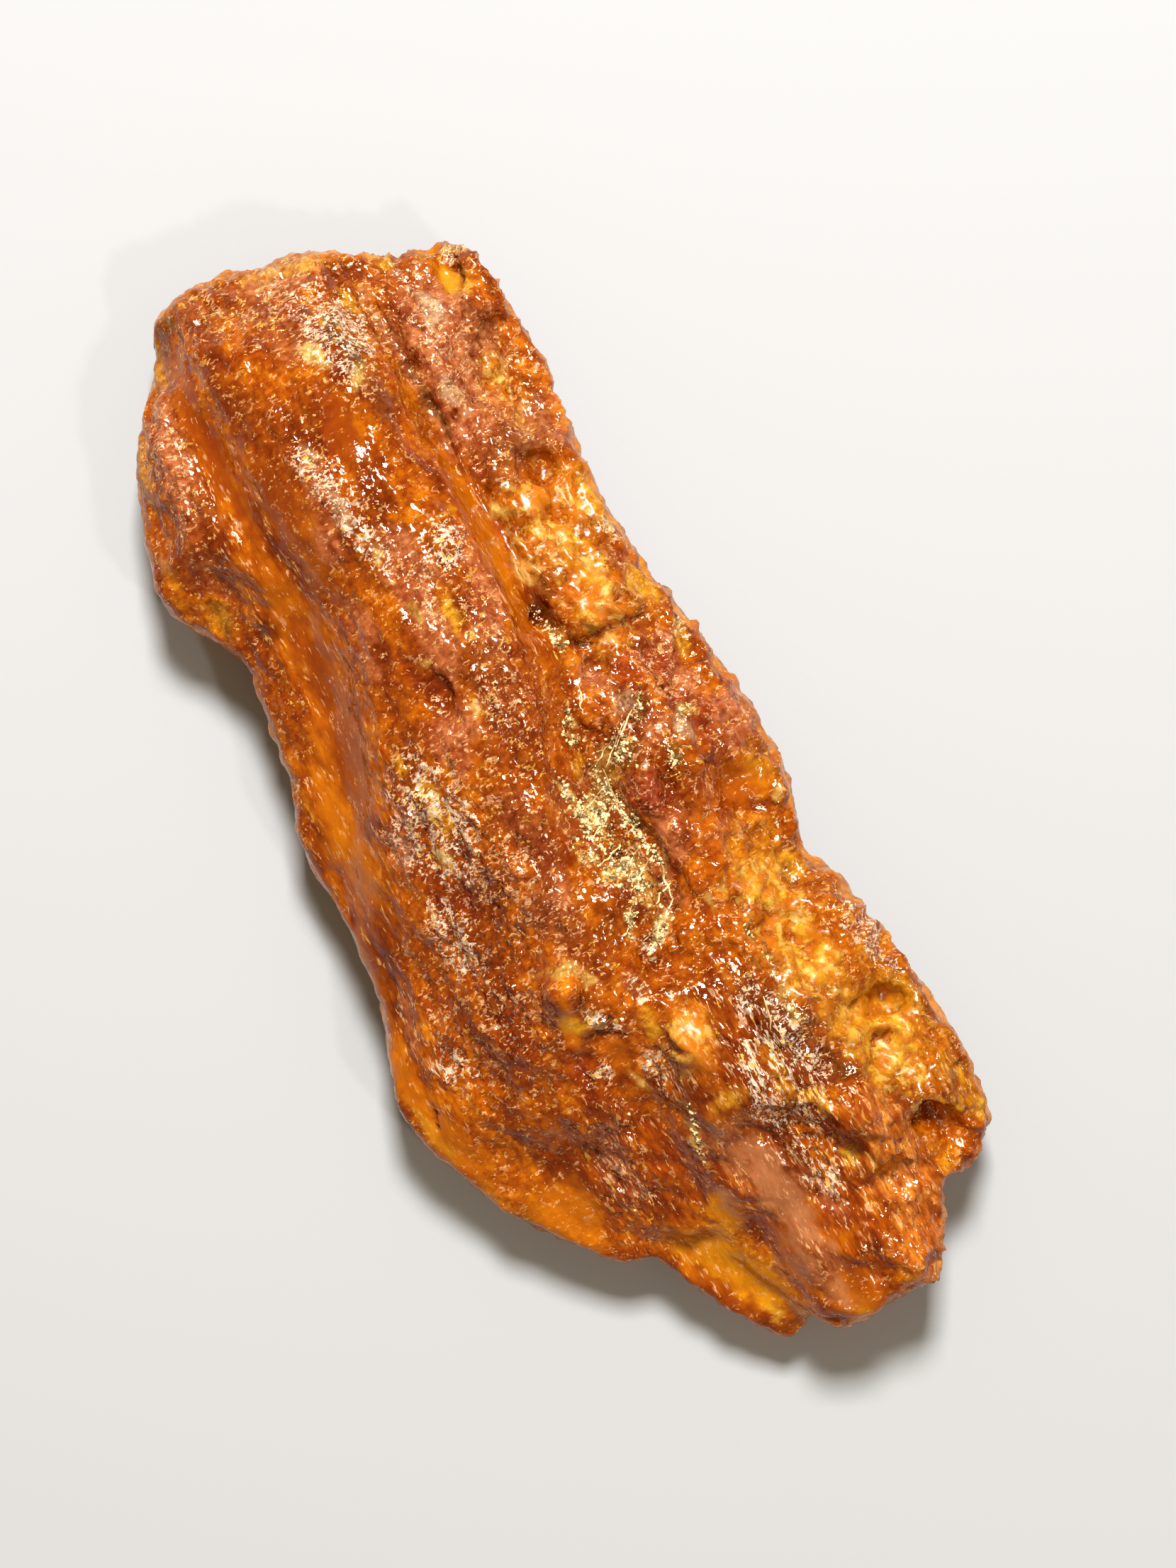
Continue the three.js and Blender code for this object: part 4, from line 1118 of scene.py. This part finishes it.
# %% Where the dust lies
DUST_PLACES = [
    # x, y, half length, half width, turn, grains
    (1, 2.3, 1.3, 0.7, 0, 190), (4.4, 1.9, 0.5, 1.1, 0, 130), (5.5, 2.4, 1, 0.5, 0, 130),
    (0.9, 1.5, 1, 0.4, 0, 80), (8.7, 1.9, 1.1, 0.35, -50, 110), (7.2, 0.9, 0.8, 0.3, -40, 60),
    (-1.3, 5.2, 0.7, 1, 60, 90), (2.6, 3.7, 4, 0.35, 4, 230), (-8.7, 5.1, 0.9, 0.35, 10, 80),
    (-4.2, 3.5, 0.5, 0.4, 0, 30), (-3.1, 3, 0.5, 0.4, 0, 30), (3, 0.7, 0.5, 0.4, 60, 30),
    (-0.9, 1.3, 0.9, 0.25, 0, 50), (-1.5, 9.4, 0.35, 0.5, 0, 30), (0.6, 7.5, 0.8, 0.5, 0, 50),
    (-3, 7.3, 1, 0.3, -40, 40), (15.8, 6.2, 1.2, 0.25, 12, 30), (12.6, 6.4, 1.8, 0.2, 5, 30),
    (-10.2, 4.8, 0.7, 0.4, 0, 20), (19.6, -1.9, 2.3, 0.2, -16, 60), (3.6, 1.6, 3.6, 1.2, 0, 220),
]
print("grains:", sum(place[-1] for place in DUST_PLACES))


# %% Shape and seat of a grain
def crumb_shape():
    """The corners and faces of one small ball, to be bent out of round."""
    ball = bmesh.new()
    bmesh.ops.create_icosphere(ball, subdivisions=2, radius=1.0)
    corners = np.array([v.co for v in ball.verts])
    faces = np.array([[v.index for v in face.verts] for face in ball.faces])
    ball.free()
    return corners, faces


def turned(chance):
    """A random turn, as a 3 by 3 table."""
    turn, _ = np.linalg.qr(chance.normal(size=(3, 3)))
    return turn * np.sign(np.linalg.det(turn))


def seated(tree, x, y):
    """Where a ray from above meets the lump at a drawn place, in millimetres."""
    start = Vector((x + DRAWN_FROM[0], y + DRAWN_FROM[1], 40)) * MM
    hit = tree.ray_cast(start, Vector((0, 0, -1)))[0]
    return None if hit is None else np.array(hit) / MM


def new_piece(name, points, faces, material):
    """A mesh object from tables in millimetres, riding on the lump."""
    mesh = bpy.data.meshes.new(name)
    mesh.from_pydata((points * MM).tolist(), [], faces.tolist())
    mesh.polygons.foreach_set("use_smooth", [True] * len(mesh.polygons))
    mesh.materials.append(material)
    piece = bpy.data.objects.new(name, mesh)
    bpy.context.scene.collection.objects.link(piece)
    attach(piece, "root")
    return piece


print("corners of a crumb:", len(crumb_shape()[0]))

# %% Grains of dust
SMALLEST_GRAIN = 0.03
GRAIN_RANGE = 0.11
JAGGED = 0.45
SUNK = 0.25


def dust_points(tree, chance):
    """All the grains: each is squashed, jagged, turned and sunk a little into the skin."""
    corners, faces = crumb_shape()
    points, all_faces = [], []
    for cx, cy, half_x, half_y, turn, grains in DUST_PLACES:
        c, s = math.cos(math.radians(turn)), math.sin(math.radians(turn))
        for _ in range(grains):
            u, v = chance.normal(size=2) * (0.5 * half_x, 0.5 * half_y)
            seat = seated(tree, cx + c * u - s * v, cy + s * u + c * v)
            if seat is None:
                continue
            size = SMALLEST_GRAIN + GRAIN_RANGE * chance.uniform() ** 2
            jag = 1 + JAGGED * waves(corners, 0.8, chance.uniform(0, 50))
            shape = corners * jag[:, None] * chance.uniform(0.5, 1.5, 3) @ turned(chance)
            all_faces.append(faces + len(corners) * len(points))
            points.append(seat + size * shape - (0, 0, SUNK * size))
    return np.concatenate(points), np.concatenate(all_faces)


print("grains are", SMALLEST_GRAIN, "to", SMALLEST_GRAIN + GRAIN_RANGE, "mm in radius")

# %% Dust material
DUST_LIGHT = tone(228, 203, 158)
DUST_DARK = tone(98, 80, 50)


def dry_material(name, light, dark, scale):
    """Dull dry stuff whose colour wanders between two tones."""
    material, tree, surface = new_material(name)
    surface.inputs["Roughness"].default_value = 0.9
    shade = ramp(tree, place_group(tree, mottle, Scale=scale)["Shade"], 0.1, 0.9)
    link(tree, mix_colour(tree, shade, dark, light), surface.inputs["Base Color"])
    grain = place_group(tree, fine_grain, Scale=9000.0)
    link(tree, bumped(tree, grain["Height"], 0.5, 0.02 * MM), surface.inputs["Normal"])
    return material


bpy.context.view_layer.update()
skin_tree = BVHTree.FromObject(resin, bpy.context.evaluated_depsgraph_get())
dust_look = dry_material("dry_dust", DUST_LIGHT, DUST_DARK, 2600.0)
dust = new_piece("crevice_dust", *dust_points(skin_tree, np.random.RandomState(5)), dust_look)
print("dust:", len(dust.data.polygons), "faces")

# %% [markdown]
# ## Rootlets
# Hair-thin dead rootlets lie across the crevice. Each is a tube swept along a path that
# wanders from one drawn point to another and follows the skin just under it, thinning
# towards its closed ends.

# %% Where the rootlets lie
ROOTLETS = [
    # from, to
    ((-3.6, 7.8), (-1.4, 4.9)), ((-2.6, 6.2), (-0.6, 3.6)), ((-2.2, 5.4), (-1.2, 3.4)),
    ((-0.9, 3.8), (1.9, 3.4)), ((0, 3.3), (0.7, 1.6)), ((1.1, 3.4), (2.2, 1.4)),
    ((2.4, 3.6), (3.8, 3.9)), ((4, 3.4), (4.6, 1.2)), ((4.8, 3.6), (5.6, 1.8)), ((5.2, 4), (7.4, 3.5)),
    ((6.6, 3.9), (7.2, 2.4)), ((7.4, 3.6), (9.2, 1.4)), ((6.4, 1.6), (7.8, 0.3)),
    ((8, 2.9), (8.6, 0.9)), ((-5.4, 4.9), (-4.4, 4.4)), ((14.6, 5.2), (16.4, 4.6)),
    ((3.4, 2.6), (3.7, 1)),
]
print("rootlets:", len(ROOTLETS))

# %% The shape of a rootlet
ROOTLET_RINGS = 14
ROOTLET_SIDES = 6
ROOTLET_RADIUS = (0.045, 0.075)
WANDER = 0.22


def rootlet_points(tree, chance, start, end):
    """A closed tube from start to end, lying on the skin."""
    along = np.linspace(0, 1, ROOTLET_RINGS)
    line = np.outer(1 - along, start) + np.outer(along, end)
    shifts = chance.uniform(0, 50, 2)
    wander = np.stack([waves(np.outer(along, (3, 0, 0)), 1.0, k) for k in shifts], axis=1)
    line += WANDER * wander * np.sin(np.pi * along)[:, None]
    seats = [seated(tree, x, y) for x, y in line]
    centre = np.array(seats)
    centre[:, 2] = np.convolve(np.pad(centre[:, 2], 1, mode="edge"), [0.25, 0.5, 0.25], "valid")
    heading = np.gradient(centre, axis=0)
    heading /= np.linalg.norm(heading, axis=1)[:, None]
    side = np.cross(heading, (0, 0, 1))
    side /= np.linalg.norm(side, axis=1)[:, None]
    up = np.cross(side, heading)
    radius = chance.uniform(*ROOTLET_RADIUS) * (0.35 + 0.65 * np.sin(np.pi * along))
    angle = np.linspace(0, 2 * np.pi, ROOTLET_SIDES, endpoint=False)
    ring = np.cos(angle)[None, :, None] * side[:, None] + np.sin(angle)[None, :, None] * up[:, None]
    points = (centre[:, None] + radius[:, None, None] * ring).reshape(-1, 3)
    return np.concatenate([points, centre[:1], centre[-1:]])


def rootlet_faces():
    """The triangles of one tube, its two ends closed by a fan."""
    faces = []
    last_ring = (ROOTLET_RINGS - 1) * ROOTLET_SIDES
    first_tip = last_ring + ROOTLET_SIDES
    for k in range(ROOTLET_SIDES):
        after = (k + 1) % ROOTLET_SIDES
        for ring in range(0, last_ring, ROOTLET_SIDES):
            a, b = ring + k, ring + after
            faces += [(a, b, b + ROOTLET_SIDES), (a, b + ROOTLET_SIDES, a + ROOTLET_SIDES)]
        faces += [(first_tip, after, k), (first_tip + 1, last_ring + k, last_ring + after)]
    return np.array(faces)


print("faces of a rootlet:", len(rootlet_faces()))

# %% Sweep the rootlets
ROOT_LIGHT = tone(226, 206, 160)
ROOT_DARK = tone(150, 124, 82)
chance = np.random.RandomState(9)
tubes = [rootlet_points(skin_tree, chance, *ends) for ends in ROOTLETS]
tube_faces = [rootlet_faces() + n * len(tubes[0]) for n in range(len(tubes))]
rootlet_look = dry_material("dry_rootlet", ROOT_LIGHT, ROOT_DARK, 500.0)
rootlets = new_piece("rootlets", np.concatenate(tubes), np.concatenate(tube_faces), rootlet_look)
print("rootlets:", len(rootlets.data.polygons), "faces")

# %% [markdown]
# ## Floor, light and camera
# The floor is plain and pale, so that it sends light back up through the lump. One soft
# box from beyond the upper left makes the glints and a weak one at the right adds a few.
# A warm sky fills the rest and the floor is a little blue, so that it looks neutral in
# that light. The camera looks straight down with a long lens, turned so that the lump
# lies slantwise.

# %% Floor and light
FLOOR_HALF = 1.5
FLOOR_COLOUR = (0.325, 0.336, 0.39, 1)
WARM_LIGHT = (1, 0.975, 0.86)
SKY_COLOUR = (1, 0.83, 0.50, 1)
SKY_STRENGTH = 0.42

bpy.ops.mesh.primitive_plane_add(size=2 * FLOOR_HALF, location=(0, 0, -0.05 * MM))
floor = bpy.context.object
floor.name = "floor"
paper, _, paper_surface = new_material("pale_floor")
paper_surface.inputs["Base Color"].default_value = FLOOR_COLOUR
paper_surface.inputs["Roughness"].default_value = 0.9
floor.data.materials.append(paper)


def soft_box(name, place, size, power):
    """A square lamp that faces the lump."""
    light = bpy.data.lights.new(name, "AREA")
    light.size = size
    light.energy = power
    light.color = WARM_LIGHT
    box = bpy.data.objects.new(name, light)
    box.location = place
    box.rotation_euler = (-Vector(place)).to_track_quat("-Z", "Y").to_euler()
    bpy.context.scene.collection.objects.link(box)


soft_box("key", (-0.24, 0.15, 0.42), 0.11, 5.1)
soft_box("spark_right", (0.30, 0.12, 0.40), 0.035, 0.5)

world = bpy.data.worlds.new("pale_sky")
bpy.context.scene.world = world
world.use_nodes = True
sky = world.node_tree.nodes["Background"]
sky.inputs["Color"].default_value = SKY_COLOUR
sky.inputs["Strength"].default_value = SKY_STRENGTH

# %% Camera
VIEW_HEIGHT = 90.3 * MM
VIEW_CENTRE = Vector((0.73, 3.90, 5.0)) * MM
TURN_ON_SCREEN = math.radians(60)
LENS = 85.0
SENSOR = 36.0

lens = bpy.data.cameras.new("camera")
lens.lens = LENS
lens.sensor_width = SENSOR
lens.clip_start = 0.01
camera = bpy.data.objects.new("camera", lens)
bpy.context.scene.collection.objects.link(camera)
away = LENS / SENSOR * VIEW_HEIGHT
camera.matrix_world = (
    Matrix.Translation(VIEW_CENTRE + Vector((0, 0, away)))
    @ Matrix.Rotation(TURN_ON_SCREEN, 4, "Z")
)
bpy.context.scene.camera = camera
bpy.context.scene.view_settings.view_transform = "Standard"
bpy.context.scene.view_settings.look = "Medium High Contrast"
print("camera is", round(away, 3), "m above the lump")
